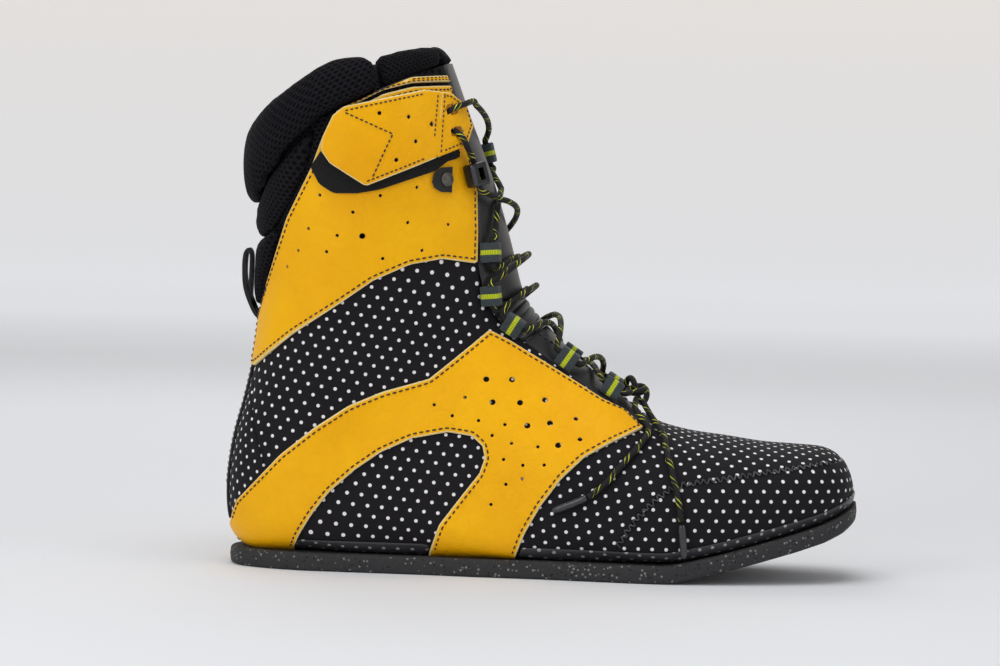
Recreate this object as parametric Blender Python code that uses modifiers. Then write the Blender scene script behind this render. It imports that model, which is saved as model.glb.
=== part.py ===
"""Inner boot of a double mountaineering boot, right foot, toe towards +X.

Every layer is an offset of one lofted skin. The skin is a row of rings that fan round the ankle, and the
panels are layers cut by side-view outlines. Outlines and ring places are on the pattern: millimetres from the
back of the heel and up from the floor, as the boot is drawn. The placed() function sets them at the real size.
"""

import math

import bmesh
import bpy
import numpy as np
from mathutils import Matrix, Vector

MM = 0.001

# Overall sizes, in millimetres
BOOT_LENGTH = 285.6
UPPER_HEIGHT = 221.0  # from the sole's top to the front of the top rim
BALL_WIDTH = 100.0
TOE_BEND = 6.0  # how far the toe curves to the inner side of the foot

# Layers, in millimetres
SOLE_THICKNESS = 8.0
SOLE_MARGIN = 1.6  # how far the sole stands out past the upper
GAP = 0.3
LAMINATE = 2.8
LINING = 4.0
STIFFENER = 1.1
LEATHER = 1.4
LOOP_PATCH = 1.2
HOOK_PATCH = 1.4
FILM = 0.5
FILM_HEIGHT = 5.6
BOARD_TURN_UP = 3.0
PADDING = 5.0
FOOTBED = 4.0
FOOTBED_MARGIN = 8.0  # free width between the footbed and the lining
BED_ROOM = 1.0
COLLAR_PUFF = 4.0
ROLL_BULGE = 10.5
ROLL_RISE = [17.0, 22.5, 19.0, 15.0]  # the top roll over the rim, from its ends round to the back
ROLL_START = 4.4  # the ring place where the roll ends, counted from the front
WING_END = 1.45
WING_RISE = [9.5, 10.5, 12.5, 14.5]

WALL = LAMINATE + 2 * GAP + STIFFENER + LINING

# Lacing, in millimetres
LACE_DIAMETER = 2.8
LACE_ROOM = 1.4  # free width round the lace in its holes
LOOP_ROOM = 2.0  # and in a webbing loop
LOOP_LONGER = 1.3
WEBBING_LIFT = 0.8  # under a lace loop, over the skin
LOCK_LIFT = 0.6
TOP_PAD_REACH = 1.1
FOLD_GAP = 0.8  # free width between the pull tab and its base, along the fold
WEBBING_WIDTH = 9.0
WEBBING = 0.9
WEBBING_REACH = 9.5
LOCK_SIZE = 10.5
LOCK_WALL = 1.1
LOCK_WINDOW = (5.6, 3.6, 6.0)
STRAP = 1.2
TAPE = 0.9
TAPE_WIDTH = 9.6
RIVET_RADIUS = 3.2
RIVET_HEAD = 1.5
RIVET_SHANK = 1.2  # radius
AGLET_DIAMETER = 3.4
PULL_LOOP_WIDTH = 10.0

# The size of the pattern that the numbers below are drawn on
PATTERN_LENGTH = 285.6
PATTERN_FLOOR = 8.3  # the pattern's height of the upper's bottom
PATTERN_HEIGHT = 221.0
PATTERN_WIDTH = 100.0

SIDE_COUNT = 11  # spaces on one side of a ring
RING_COUNT = 27

# Front x and z, back x and z, half width, place of the widest point, roundness of the front and back halves
RINGS = [
    (284.4, 42.5, 284.4, 38.0, 6, 0.5, 2.2, 2.2),
    (282.9, 48.0, 282.9, 34.4, 18, 0.5, 2.3, 2.6),
    (279.0, 54.6, 279.0, 30.9, 28, 0.52, 2.3, 3.0),
    (271.0, 59.2, 271.0, 27.2, 35.5, 0.55, 2.3, 4.0),
    (258.0, 60.4, 258.0, 23.0, 41, 0.58, 2.3, 5.0),
    (243.0, 61.3, 243.0, 18.7, 45, 0.6, 2.2, 6.0),
    (226.0, 63.6, 226.0, 13.9, 48.5, 0.62, 2.2, 6.5),
    (208.0, 66.0, 206.0, 9.2, 50, 0.64, 2.2, 7.0),
    (193.0, 70.5, 184.0, 8.3, 49, 0.65, 2.2, 7.0),
    (179.0, 80.0, 160.0, 8.3, 46, 0.66, 2.2, 7.0),
    (164.0, 92.5, 132.0, 8.3, 43, 0.68, 2.2, 7.0),
    (151.0, 104.0, 104.0, 8.3, 40.5, 0.7, 2.3, 7.0),
    (142.5, 113.0, 76.0, 8.3, 39, 0.7, 2.4, 6.5),
    (137.5, 118.5, 48.0, 8.3, 38, 0.7, 2.5, 5.5),
    (134.3, 123.0, 26.0, 8.3, 37, 0.68, 2.5, 4.0),
    (132.4, 127.0, 12.5, 9.0, 36.5, 0.66, 2.5, 3.0),
    (131.0, 131.0, 4.6, 13.5, 36.5, 0.64, 2.5, 2.4),
    (129.8, 135.5, 1.0, 22.5, 37, 0.62, 2.4, 2.3),
    (128.3, 141.5, 0.2, 38.0, 37.5, 0.6, 2.4, 2.2),
    (126.3, 149.0, 2.6, 57.0, 38.5, 0.58, 2.3, 2.2),
    (123.8, 157.5, 7.6, 77.0, 39.5, 0.56, 2.2, 2.2),
    (121.2, 166.0, 11.2, 95.0, 41, 0.54, 2.2, 2.1),
    (117.2, 178.0, 13.4, 113.0, 43, 0.52, 2.1, 2.1),
    (112.0, 191.5, 14.4, 133.0, 45.5, 0.5, 2.1, 2.1),
    (106.6, 205.0, 14.6, 152.0, 47.5, 0.5, 2.1, 2.1),
    (102.0, 217.5, 14.0, 171.0, 48.5, 0.5, 2.1, 2.1),
    (97.5, 229.3, 13.2, 188.0, 49, 0.5, 2.1, 2.1),
]

# Height of the sole's underside along the boot
ROCKER = [(-20, 0), (200, 0), (206, 0.9), (226, 5.6), (243, 10.4), (258, 14.7), (271, 18.9), (279, 22.6), (290, 30.0)]

# Side-view outlines
TONGUE_EDGE = [(91, 245), (95.8, 226), (98.2, 219), (101, 210), (105, 197), (108.5, 183), (111.3, 171),
               (112.6, 155), (113, 139), (115, 124.5), (125, 111.5), (146, 97), (168, 82), (184, 70)]
BEND_LOW = [(150.5, 117.7), (134, 105.3)]  # where the tongue's ribbed bend starts and ends
BEND_HIGH = [(141.5, 125.0), (117, 121.9)]
VAMP_EDGE = [(188, 72), (176, 64), (163, 57), (150, 46), (138, 28), (129, -10)]
QUARTER_TOP = [(135, 146), (116, 146), (97, 148), (82, 145), (65, 137), (49, 125.5), (29, 112), (-10, 92)]
HEEL_EDGE = [(4, 92), (11.8, 84), (11.4, 75), (14.1, 61.7), (18.7, 48), (25, 34), (30, 20), (32, -10)]
TOE_SEAM = [(179, -10), (179.3, 15.4), (181.5, 20), (188.1, 29.4), (197.2, 38.5), (207.5, 43.8), (233.7, 48),
            (273, 54), (310, 60)]
CUFF = [(-10, 86), (13.1, 90.6), (31.8, 106.1), (51.9, 119.8), (67.4, 131.1), (83.4, 138.6), (96.8, 141.3),
        (112.2, 139.3), (111.8, 155), (110.9, 171), (108, 183), (104.6, 197), (100.6, 210), (97.7, 218.5),
        (82.2, 217.2), (70, 213.6), (56.9, 206.2), (49.2, 200.8), (44, 194), (39.1, 180.2), (28.2, 157.9),
        (13.7, 113.5), (-10, 112)]
FACING = [(49.5, 202.2), (56.5, 207.8), (69.7, 215.2), (82, 218.9), (97.2, 220.3), (96.3, 223), (82.2, 221.6),
          (70, 217.9), (56.9, 210.4), (49.8, 205.4)]
LOWER = [(-4, 12.5), (3, 18.9), (7, 29.9), (16.4, 40), (27, 51.7), (42.1, 64.4), (57.3, 74.8), (72.3, 81.4),
         (92.7, 87.4), (102.5, 95.6), (112.3, 104.1), (118.6, 109.6), (128.4, 104.7), (145.8, 94.2), (159.8, 85.6),
         (170.2, 79.1), (179.9, 75), (188.4, 67.2), (174.8, 61.1), (163.4, 54.7), (153.6, 45.2), (144.6, 32.8),
         (137.8, 20.5), (132.9, 8.6), (94, 8.6), (99.3, 22.8), (109, 36.1), (116.6, 46.1), (118.9, 53),
         (117.7, 58.3), (112.8, 62.6), (102, 64.1), (86, 60.8), (72.3, 54.3), (61, 46.2), (49.6, 35.9),
         (42.1, 25.9), (36, 15.8), (32.3, 8.6), (7.5, 8.6), (-4, 8.6)]
LOOP_AREA = [(39.6, 181), (43.5, 173.5), (49.6, 169.6), (60, 169.8), (69.7, 171.7), (92, 180), (97.5, 184.5),
             (102, 186), (102, 190), (90.5, 191.5), (89, 210), (84, 212), (70, 209.5), (57.5, 202.5), (50.5, 197.5),
             (46.2, 191.5)]
PULL_TAB_REAR = [(83, 182), (63.5, 173.4), (59.4, 176), (48.9, 182.9), (45.2, 188.5), (45.6, 194.2), (49.6, 204.1),
                 (53.7, 207.9), (84.7, 215.2)]
PULL_TAB_FRONT = [(94.4, 213.9), (100.9, 208.4), (104.0, 199), (102.5, 190.7)]
HOOK_AREA = [(54, 203), (70, 206.5), (84.5, 209), (87, 200), (89, 189), (77, 183.8), (63.5, 178.6), (54, 184.5),
             (50, 191)]
TAB_FOLD = [(90.8, 214.4), (91.0, 185.6)]  # the tab bends here as it peels off
TAB_HOLES = [(95.3, 206.6), (98.0, 196.6)]
LOCK_STRAP = [(92.3, 175.4), (93.2, 179.6), (96, 182), (101.2, 182.6), (101.2, 170.8), (96.4, 170.9), (93.4, 172.6)]
RIVET = (96.9, 176.6)
LOCK = (107.2, 178.2)
LOCK_WAY = (-0.35, 0, 1)  # the way the lace runs up through the lock
LINING_SEAM = (148, 100)  # where the lining's toe, heel and shaft parts are sewn together, as x and z
COUNTER = [(-10, 14), (60, 14), (52, 38), (34, 62), (12, 72), (-10, 72)]
PUFF = [(225, 19), (310, 24), (310, 54), (236, 52)]
VALLEY = [(0, 162.5), (13.3, 163), (20, 177), (31, 190), (41, 200), (47, 208), (60, 240)]  # under the top roll
MIDDLE_ROLL = [(-14, 161.2), (13.3, 161.5), (20, 175.5), (31, 188.5), (40.6, 198), (37, 181.5), (29.5, 166),
               (22, 153), (13, 147.5), (-14, 146)]
LOWER_ROLL = [(-14, 145), (13, 146.4), (20.8, 151), (26, 157), (22, 145), (14.2, 118), (-14, 117.5)]

TAPE_LINE = [(-14, 20), (8, 20), (26, 60), (26, 110.6), (-14, 110.6)]

# Where each moving piece turns
TONGUE_HINGE = (141.5, 125.0)
PULL_LOOP_HINGE = (12.2, 111.6)

# A lace loop is where its webbing leaves the leather edge and the way it points, in degrees up from the toe
LACE_LOOPS = [((112.9, 144.0), 0), ((113.6, 124.4), 8), ((126.4, 107.2), 58), ((150.8, 93.0), 58), ((171.6, 80.5), 66)]
TOP_LOOP = ((107.8, 188.0), 5)
KNOT = (8.85, 0.25)  # ring and turn of the skin under the knot
KNOT_SCALE = 2.2
KNOT_RISE = 1.3
# Lace routes over the outer side, as pattern x and z with the height over the skin
FRONT_RUN = [(118.4, 157.0, 2.3), (118.9, 165.0, 1.9), (119.6, 172.0, 1.9)]
TAB_RUN = [(101.5, 209.6, 8.3), (98.6, 208.4, 8.6), (95.3, 206.6, 6.2), (95.6, 204.2, 3.25), (97.2, 199.2, 3.25),
           (98.0, 196.6, 6.2), (99.4, 193.4, 8.6), (101.2, 189.8, 8.4)]
LOCK_RUN = [(112.8, 169.4, 5.6), (117.2, 167.2, 5.2)]
LONG_LEAVES = (8.62, 1.5, 2.8)  # ring, turn and height where each free end leaves the knot
LONG_END = [(190.6, 65.6, 1.9), (186.6, 58.8, 1.9), (179.0, 50.2, 1.9), (172.4, 42.6, 1.9), (165.8, 37.6, 1.9)]
LONG_AGLET = [(165.0, 37.2, 2.1), (158, 34.0, 2.1), (150.2, 30.8, 2.1)]
SHORT_LEAVES = (8.12, 1.2, 2.6)
SHORT_END = [(197.4, 63.5, 1.9), (199.6, 56.0, 1.9), (202.1, 49.1, 1.9), (205.2, 38.0, 1.9), (206.9, 28.4, 1.9)]
SHORT_AGLET = [(207.1, 26.7, 2.1), (207.9, 18.2, 2.8), (208.2, 13.8, 3.2)]
LOW_STRAND = 1.8  # heights of the two strands over the skin, where they cross on the tongue
HIGH_STRAND = 6.5
PULL_LOOP = [(12.3, 113.0), (8.9, 118.4), (8.7, 127), (8.9, 134), (8.7, 141), (6.9, 143.6), (4.6, 141), (4.1, 134),
             (5.0, 124.6), (8.6, 115.4), (11.2, 111.8)]
PULL_GAP = [(7.2, 124.4), (7.1, 126), (7.3, 129), (7.4, 134), (7.4, 140.4), (6.9, 141.6), (6.2, 140.4), (5.8, 134),
            (6.2, 128), (6.8, 124.8), (7.0, 124.2)]


# The material of each group of pieces: colour, roughness and metallic value
FINISHES = {
    "leather": ((0.87, 0.49, 0.02), 0.45, 0.0),
    "polka": ((0.02, 0.018, 0.022), 0.9, 0.0),
    "mesh": ((0.012, 0.011, 0.014), 0.95, 0.0),
    "tongue": ((0.025, 0.024, 0.025), 0.55, 0.0),
    "felt": ((0.16, 0.16, 0.16), 1.0, 0.0),
    "foam": ((0.05, 0.05, 0.055), 0.9, 0.0),
    "film": ((0.2, 0.2, 0.21), 0.4, 0.0),
    "board": ((0.35, 0.33, 0.3), 0.9, 0.0),
    "stiffener": ((0.6, 0.58, 0.5), 0.5, 0.0),
    "webbing": ((0.05, 0.07, 0.08), 0.8, 0.0),
    "pile": ((0.01, 0.01, 0.01), 1.0, 0.0),
    "lace": ((0.02, 0.02, 0.018), 0.75, 0.0),
    "gunmetal": ((0.11, 0.11, 0.12), 0.35, 1.0),
    "aglet": ((0.55, 0.55, 0.5), 0.25, 0.0),
}


def clear_scene():
    for old in list(bpy.data.objects):
        bpy.data.objects.remove(old)


def collection(name, shown):
    made = bpy.data.collections.new(name)
    made.hide_render = not shown
    bpy.context.scene.collection.children.link(made)
    return made


def finish(name):
    made = bpy.data.materials.get(name)
    if made is None:
        colour, roughness, metallic = FINISHES[name]
        made = bpy.data.materials.new(name)
        made.use_nodes = True
        shader = made.node_tree.nodes["Principled BSDF"]
        shader.inputs["Base Color"].default_value = (*colour, 1.0)
        shader.inputs["Roughness"].default_value = roughness
        shader.inputs["Metallic"].default_value = metallic
    return made


def add_object(name, mesh, material, parent=None):
    obj = bpy.data.objects.new(name, mesh)
    mesh.materials.clear()
    mesh.materials.append(finish(material))
    boot.objects.link(obj)
    if parent:
        obj.parent = parent
        obj.matrix_parent_inverse = parent.matrix_world.inverted()
    return obj


def mesh_of(name, points, faces):
    """A mesh from points in millimetres, with its faces turned outwards."""
    mesh = bpy.data.meshes.new(name)
    mesh.from_pydata([tuple(p * MM for p in point) for point in points], [], faces)
    work = bmesh.new()
    work.from_mesh(mesh)
    bmesh.ops.recalc_face_normals(work, faces=work.faces)
    if work.calc_volume(signed=True) < 0:
        bmesh.ops.reverse_faces(work, faces=work.faces)
    work.to_mesh(mesh)
    work.free()
    mesh.shade_smooth()
    mesh.set_sharp_from_angle(angle=math.radians(35))
    return mesh


# The pattern and the skin


def placed(x, z):
    """A pattern place as real x and z, with the origin under the middle of the boot."""
    real_x = (x - PATTERN_LENGTH / 2) * BOOT_LENGTH / PATTERN_LENGTH
    real_z = SOLE_THICKNESS + GAP + (z - PATTERN_FLOOR) * UPPER_HEIGHT / PATTERN_HEIGHT
    return real_x, real_z


def rocker(x):
    """The underside's real height at a real x."""
    at = np.array([placed(px, 0)[0] for px, _ in ROCKER])
    rise = np.array([rise for _, rise in ROCKER]) * UPPER_HEIGHT / PATTERN_HEIGHT
    return np.interp(x, at, rise)


def bend(x):
    start = placed(150, 0)[0]
    reach = placed(PATTERN_LENGTH, 0)[0] - start
    return TOE_BEND * np.clip((x - start) / reach, 0, None) ** 2


def blend_weights(t):
    """Catmull-Rom weights of the four rows about a place."""
    return np.stack([
        (-t + 2 * t**2 - t**3) / 2,
        (2 - 5 * t**2 + 3 * t**3) / 2,
        (t + 4 * t**2 - 3 * t**3) / 2,
        (t**3 - t**2) / 2,
    ])


def smooth_rows(rows, places):
    """Rows read at fractional places along a smooth curve through them."""
    rows = np.asarray(rows, float)
    low = np.clip(np.floor(places).astype(int), 0, len(rows) - 2)
    weights = blend_weights(np.asarray(places) - low)
    index = np.clip(low + np.arange(-1, 3)[:, None], 0, len(rows) - 1)
    return np.einsum("ab,ab...->b...", weights, rows[index])


def half_ring(front, back, half, widest, front_power, back_power):
    """Points down one side of a ring, evenly spaced from its front to its back."""
    turn = np.linspace(0, math.pi / 2, 80)
    rise, fall = np.sin(turn), np.cos(turn)
    along = np.concatenate([
        widest * (1 - fall ** (2 / front_power)),
        (widest + (1 - widest) * rise ** (2 / back_power))[1:],
    ])
    out = half * np.concatenate([rise ** (2 / front_power), (fall ** (2 / back_power))[1:]])
    line = np.stack([front[0] + (back[0] - front[0]) * along, out, front[1] + (back[1] - front[1]) * along], 1)
    run = np.concatenate([[0], np.cumsum(np.linalg.norm(np.diff(line, axis=0), axis=1))])
    even = np.linspace(0, run[-1], SIDE_COUNT + 1)
    return np.stack([np.interp(even, run, line[:, k]) for k in range(3)], 1)


def control_grid():
    """All rings of the skin: ring by ring, round from the front down the outer side and back up the inner."""
    rings = smooth_rows(RINGS, np.linspace(0, len(RINGS) - 1, RING_COUNT))
    grid = []
    for front_x, front_z, back_x, back_z, half, widest, front_power, back_power in rings:
        real_half = half * BALL_WIDTH / PATTERN_WIDTH
        side = half_ring(placed(front_x, front_z), placed(back_x, back_z), real_half, widest, front_power, back_power)
        outer, inner = side * (1, -1, 1), side[-2:0:-1]
        grid.append(np.concatenate([outer, inner]))
    grid = np.array(grid)
    grid[:, :, 1] += bend(grid[:, :, 0])
    return grid


def skin(ring, turn):
    """A point of the skin. turn counts round a ring: 0 is its front and SIDE_COUNT its back."""
    ring, turn = np.broadcast_arrays(np.asarray(ring, float), np.asarray(turn, float))
    shape, ring, turn = ring.shape, ring.ravel(), turn.ravel()
    low_r = np.clip(np.floor(ring).astype(int), 0, RING_COUNT - 2)
    low_t = np.floor(turn).astype(int)
    weight_r, weight_t = blend_weights(ring - low_r), blend_weights(turn - low_t)
    index_r = np.clip(low_r + np.arange(-1, 3)[:, None], 0, RING_COUNT - 1)
    index_t = (low_t + np.arange(-1, 3)[:, None]) % (2 * SIDE_COUNT)
    point = np.einsum("an,bn,abnk->nk", weight_r, weight_t, GRID[index_r[:, None], index_t[None]])
    return point.reshape(*shape, 3)


def outward(ring, turn):
    step = 0.05
    low, high = np.clip(ring - step, 0, None), np.clip(ring + step, None, RING_COUNT - 1)
    along = skin(high, turn) - skin(low, turn)
    round_ = skin(ring, turn + step) - skin(ring, turn - step)
    normal = np.cross(along, round_)
    return normal / np.linalg.norm(normal, axis=-1, keepdims=True)


def off_skin(ring, turn, height):
    return skin(ring, turn) + outward(ring, turn) * np.asarray(height, float)[..., None]


def find(x, z, side=-1):
    """The ring and turn of the skin under a pattern place, on the outer side (-1) or the inner (1)."""
    ring, turn = settle(np.array(placed(x, z)), (0, 2), SIDE_COUNT)
    return ring, turn if side < 0 else 2 * SIDE_COUNT - turn


def settle(target, parts, last_turn):
    """The ring and turn where the skin comes nearest the target, in the listed coordinates."""
    parts = list(parts)
    rings = np.linspace(0, RING_COUNT - 1, 120)[:, None]
    turns = np.linspace(0, last_turn, 6 * last_turn)[None]
    away = np.linalg.norm(skin(rings, turns)[..., parts] - target, axis=-1)
    row, column = np.unravel_index(away.argmin(), away.shape)
    at = np.array([rings[row, 0], turns[0, column]])
    for _ in range(12):
        here = skin(*at)[parts]
        slope = np.stack([(skin(at[0] + 0.01, at[1])[parts] - here), (skin(at[0], at[1] + 0.01)[parts] - here)], 1)
        move = np.linalg.lstsq(slope / 0.01, target - here, rcond=1e-3)[0]
        at = np.clip(at + np.clip(move, -0.4, 0.4), 0, (RING_COUNT - 1, last_turn))
    return at


def nearest(point):
    """Ring, signed turn (minus on the inner side) and height of a real place near the skin."""
    ring, turn = settle(np.asarray(point), (0, 1, 2), 2 * SIDE_COUNT)
    height = np.linalg.norm(point - skin(ring, turn))
    return np.array([ring, turn if turn <= SIDE_COUNT else turn - 2 * SIDE_COUNT, height])


def over(x, z, height, side=-1):
    """The point this high above the skin at a pattern place."""
    return off_skin(*find(x, z, side), height)


# Layers and the panels cut from them


def layer(name, low, high):
    """A closed shell between two heights over the skin, open at the top of the boot."""
    rings = np.arange(RING_COUNT)[:, None]
    turns = np.arange(2 * SIDE_COUNT)[None]
    shape = (len(rings), 2 * SIDE_COUNT)
    outer = off_skin(rings, turns, np.broadcast_to(high, shape))
    inner = off_skin(rings, turns, np.broadcast_to(low, shape))
    points = np.concatenate([outer.reshape(-1, 3), inner.reshape(-1, 3)])
    count, size = len(rings), 2 * SIDE_COUNT
    faces = []
    for wall in (0, count * size):
        for ring in range(count - 1):
            for turn in range(size):
                after = (turn + 1) % size
                a, b = wall + ring * size + turn, wall + ring * size + after
                faces += [(a, b, b + size), (a, b + size, a + size)]
        faces += toe_cap(wall, size)
    for turn in range(size):
        a, b = (count - 1) * size + turn, (count - 1) * size + (turn + 1) % size
        faces.append((a, b, b + count * size, a + count * size))
    return mesh_of(name, points, faces)


def toe_cap(first, size):
    """The quads that close the first ring, across from side to side."""
    cap = [(first, first + 1, first + size - 1)]
    for turn in range(1, size // 2 - 1):
        a, b, c, d = first + turn, first + turn + 1, first + size - turn - 1, first + size - turn
        cap += [(a, b, c), (a, c, d)]
    cap.append((first + size // 2 - 1, first + size // 2, first + size // 2 + 1))
    return cap


def shrunk(outline, distance):
    """The outline moved inwards, corner by corner."""
    points = np.array(outline, float)
    before, after = np.roll(points, 1, 0), np.roll(points, -1, 0)
    turn = np.sign((points[:, 0] * after[:, 1] - after[:, 0] * points[:, 1]).sum())
    first, second = points - before, after - points
    first /= np.linalg.norm(first, axis=1, keepdims=True)
    second /= np.linalg.norm(second, axis=1, keepdims=True)
    inward_1, inward_2 = np.stack([-first[:, 1], first[:, 0]], 1), np.stack([-second[:, 1], second[:, 0]], 1)
    middle = inward_1 + inward_2
    share = 1 + (inward_1 * inward_2).sum(1, keepdims=True)
    return points + turn * distance * middle / np.maximum(share, 0.3)


def prism(name, outline, side, shrink=GAP / 2, inner=GAP / 2, reach=BALL_WIDTH):
    """A hidden cutter: a pattern outline as a slab across the boot (side 0), or over its outer or inner half.

    inner is how far a half stays from the boot's bent middle line, and reach how far out the slab goes."""
    flat = np.array([placed(*point) for point in outline])
    if shrink:
        flat = shrunk(flat, shrink)
    middle = bend(flat[:, 0])
    near = middle + (side * inner if side else -reach)
    far = middle + (side * reach if side else reach)
    count = len(flat)
    points = [(x, y, z) for (x, z), y in zip(flat, near)] + [(x, y, z) for (x, z), y in zip(flat, far)]
    faces = [tuple(range(count)), tuple(range(count, 2 * count))]
    faces += [(k, (k + 1) % count, count + (k + 1) % count, count + k) for k in range(count)]
    return cutter_of(mesh_of(name, points, faces))


def cutter_of(mesh):
    work = bmesh.new()
    work.from_mesh(mesh)
    bmesh.ops.triangulate(work, faces=work.faces)
    work.to_mesh(mesh)
    work.free()
    cutter = bpy.data.objects.new(mesh.name, mesh)
    cutter.display_type = "WIRE"
    cutter.hide_render = True
    cutters.objects.link(cutter)
    return cutter


def cut(obj, cutter, operation="INTERSECT"):
    modifier = obj.modifiers.new(cutter.name, "BOOLEAN")
    modifier.operation = operation
    modifier.object = cutter
    modifier.solver = "EXACT"


def panel(name, base, outline, side, material, parent=None, **limits):
    """A piece of a layer inside a side-view outline."""
    obj = add_object(name, base.copy(), material, parent)
    cut(obj, prism("cut_" + name, outline, side, **limits))
    return obj


def bottom_line(height, first=-12, last=300):
    """Pattern points this high above the upper's bottom, from heel to toe."""
    rise = {x: r for x, r in ROCKER}
    places = [first] + [x for x in rise if first < x < last] + [last]
    known = sorted(rise)
    return [(x, PATTERN_FLOOR + height + float(np.interp(x, known, [rise[k] for k in known]))) for x in places]


# Small built shapes


def tube(name, route, diameter, material, closed=False):
    """A round cord along a smooth curve through the route's points, which are real millimetres."""
    route = np.asarray(route, float)
    if closed:
        route = np.concatenate([route[-2:], route, route[:3]])
    dense = smooth_rows(route, np.linspace(0, len(route) - 1, 30 * len(route)))
    if closed:
        dense = smooth_rows(route, np.linspace(2, len(route) - 3, 30 * len(route)))
    leg = np.diff(dense, axis=0)
    length = np.linalg.norm(leg, axis=1)
    turned = np.concatenate([[0], np.arccos(np.clip((leg[1:] * leg[:-1]).sum(1) / (length[1:] * length[:-1]), -1, 1))])
    # A bend takes a point every 36 degrees or so, and a straight run one every few diameters.
    measure = np.concatenate([[0], np.cumsum(length / (3 * diameter) + turned / math.radians(36))])
    places = np.linspace(0, measure[-1], int(measure[-1]) + 4)
    even = np.stack([np.interp(places, measure, dense[:, k]) for k in range(3)], 1)
    if closed:
        even = even[:-1]
    curve = bpy.data.curves.new(name, "CURVE")
    curve.dimensions = "3D"
    curve.bevel_depth = diameter / 2 * MM
    curve.bevel_resolution = 2
    curve.use_fill_caps = True
    spline = curve.splines.new("POLY")
    spline.points.add(len(even) - 1)
    for point, place in zip(spline.points, even):
        point.co = (*(place * MM), 1.0)
    spline.use_cyclic_u = closed
    curve.materials.append(finish(material))
    obj = bpy.data.objects.new(name, curve)
    boot.objects.link(obj)
    return obj


def frame_at(origin, along, normal):
    """A matrix whose x runs along and whose z is the normal."""
    z = Vector(normal).normalized()
    x = Vector(along)
    x = (x - x.dot(z) * z).normalized()
    matrix = Matrix((x, z.cross(x), z)).transposed().to_4x4()
    matrix.translation = Vector(origin) * MM
    return matrix


def ring_of(name, outline, hole, width, matrix, material, parent=None):
    """A band: an outline with a hole, as thick as the width, in the matrix's x and z and along its y."""
    count = len(outline)
    points = [(x, y, z) for y in (-width / 2, width / 2) for ring in (outline, hole) for x, z in ring]
    faces = []
    for k in range(count):
        n = (k + 1) % count
        faces.append((k, n, count + n, count + k))
        faces.append((2 * count + k, 2 * count + n, 3 * count + n, 3 * count + k))
        faces.append((k, n, 2 * count + n, 2 * count + k))
        faces.append((count + k, count + n, 3 * count + n, 3 * count + k))
    mesh = mesh_of(name, points, faces)
    mesh.transform(matrix)
    return add_object(name, mesh, material, parent)


def way(x, z, degrees, side):
    """Place, direction and outward normal on the skin, for a piece that points this way in the side view."""
    step = 1.0
    here = over(x, z, 0.0, side)
    there = over(x + step * math.cos(math.radians(degrees)), z + step * math.sin(math.radians(degrees)), 0.0, side)
    normal = outward(*find(x, z, side))
    along = there - here
    along -= along.dot(normal) * normal
    return here, along / np.linalg.norm(along), normal


# The pieces


def make_sole():
    plate("foam_sole", SOLE_MARGIN, 0.0, SOLE_THICKNESS, "foam")
    deck = layer("laminate", -LAMINATE, 0.0)
    low = bottom_line(BOARD_TURN_UP)
    board = [(-12, -20)] + low + [(300, -20)]
    panel("strobel_board", layer("board", -LAMINATE + 0.8, 0.0), board, 0, "board")
    film = layer("film", GAP, GAP + FILM)
    base, top = bottom_line(0.5), bottom_line(FILM_HEIGHT)
    front = [p for p in base if p[0] > 140] + [p for p in top if p[0] > 140][::-1]
    front = [(134.2, base[0][1])] + front + [(136.4, top[0][1])]
    panel("film_band_front", film, front, 0, "film", shrink=0)
    window = [(33.4, base[0][1]), (93.2, base[0][1]), (95.0, top[0][1]), (35.2, top[0][1])]
    for side, word in ((-1, "lateral"), (1, "medial")):
        panel("film_band_window_" + word, film, window, side, "film")
    return deck


def footprint(margin, front):
    """The upper's outline on the floor, moved out by a margin and ended at a pattern x near the toe."""
    rings = np.linspace(0, RING_COUNT - 1, 160)[:, None]
    turns = np.linspace(0, 2 * SIDE_COUNT, 240)[None]
    cloud = skin(rings, turns).reshape(-1, 3)
    low = cloud[:, 2] < rocker(cloud[:, 0]) + SOLE_THICKNESS + 9.0
    cloud = cloud[low][:, :2]
    outline = []
    spine = np.linspace(placed(42, 0)[0], placed(front, 0)[0], 9)
    for end, start, walk, side in ((spine[-1], -90, spine[-2:0:-1], 1.0), (spine[0], 90, spine[1:-1], -1.0)):
        rays = [(end, math.radians(start + turn)) for turn in np.linspace(0, 180, 13)]
        rays += [(x, math.radians(90 * side)) for x in walk]
        for x, angle in rays:
            centre, ray = np.array([x, float(bend(x))]), np.array([math.cos(angle), math.sin(angle)])
            outline.append(centre + ray * (reach_along(cloud, centre, ray) + margin))
    return outline


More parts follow.
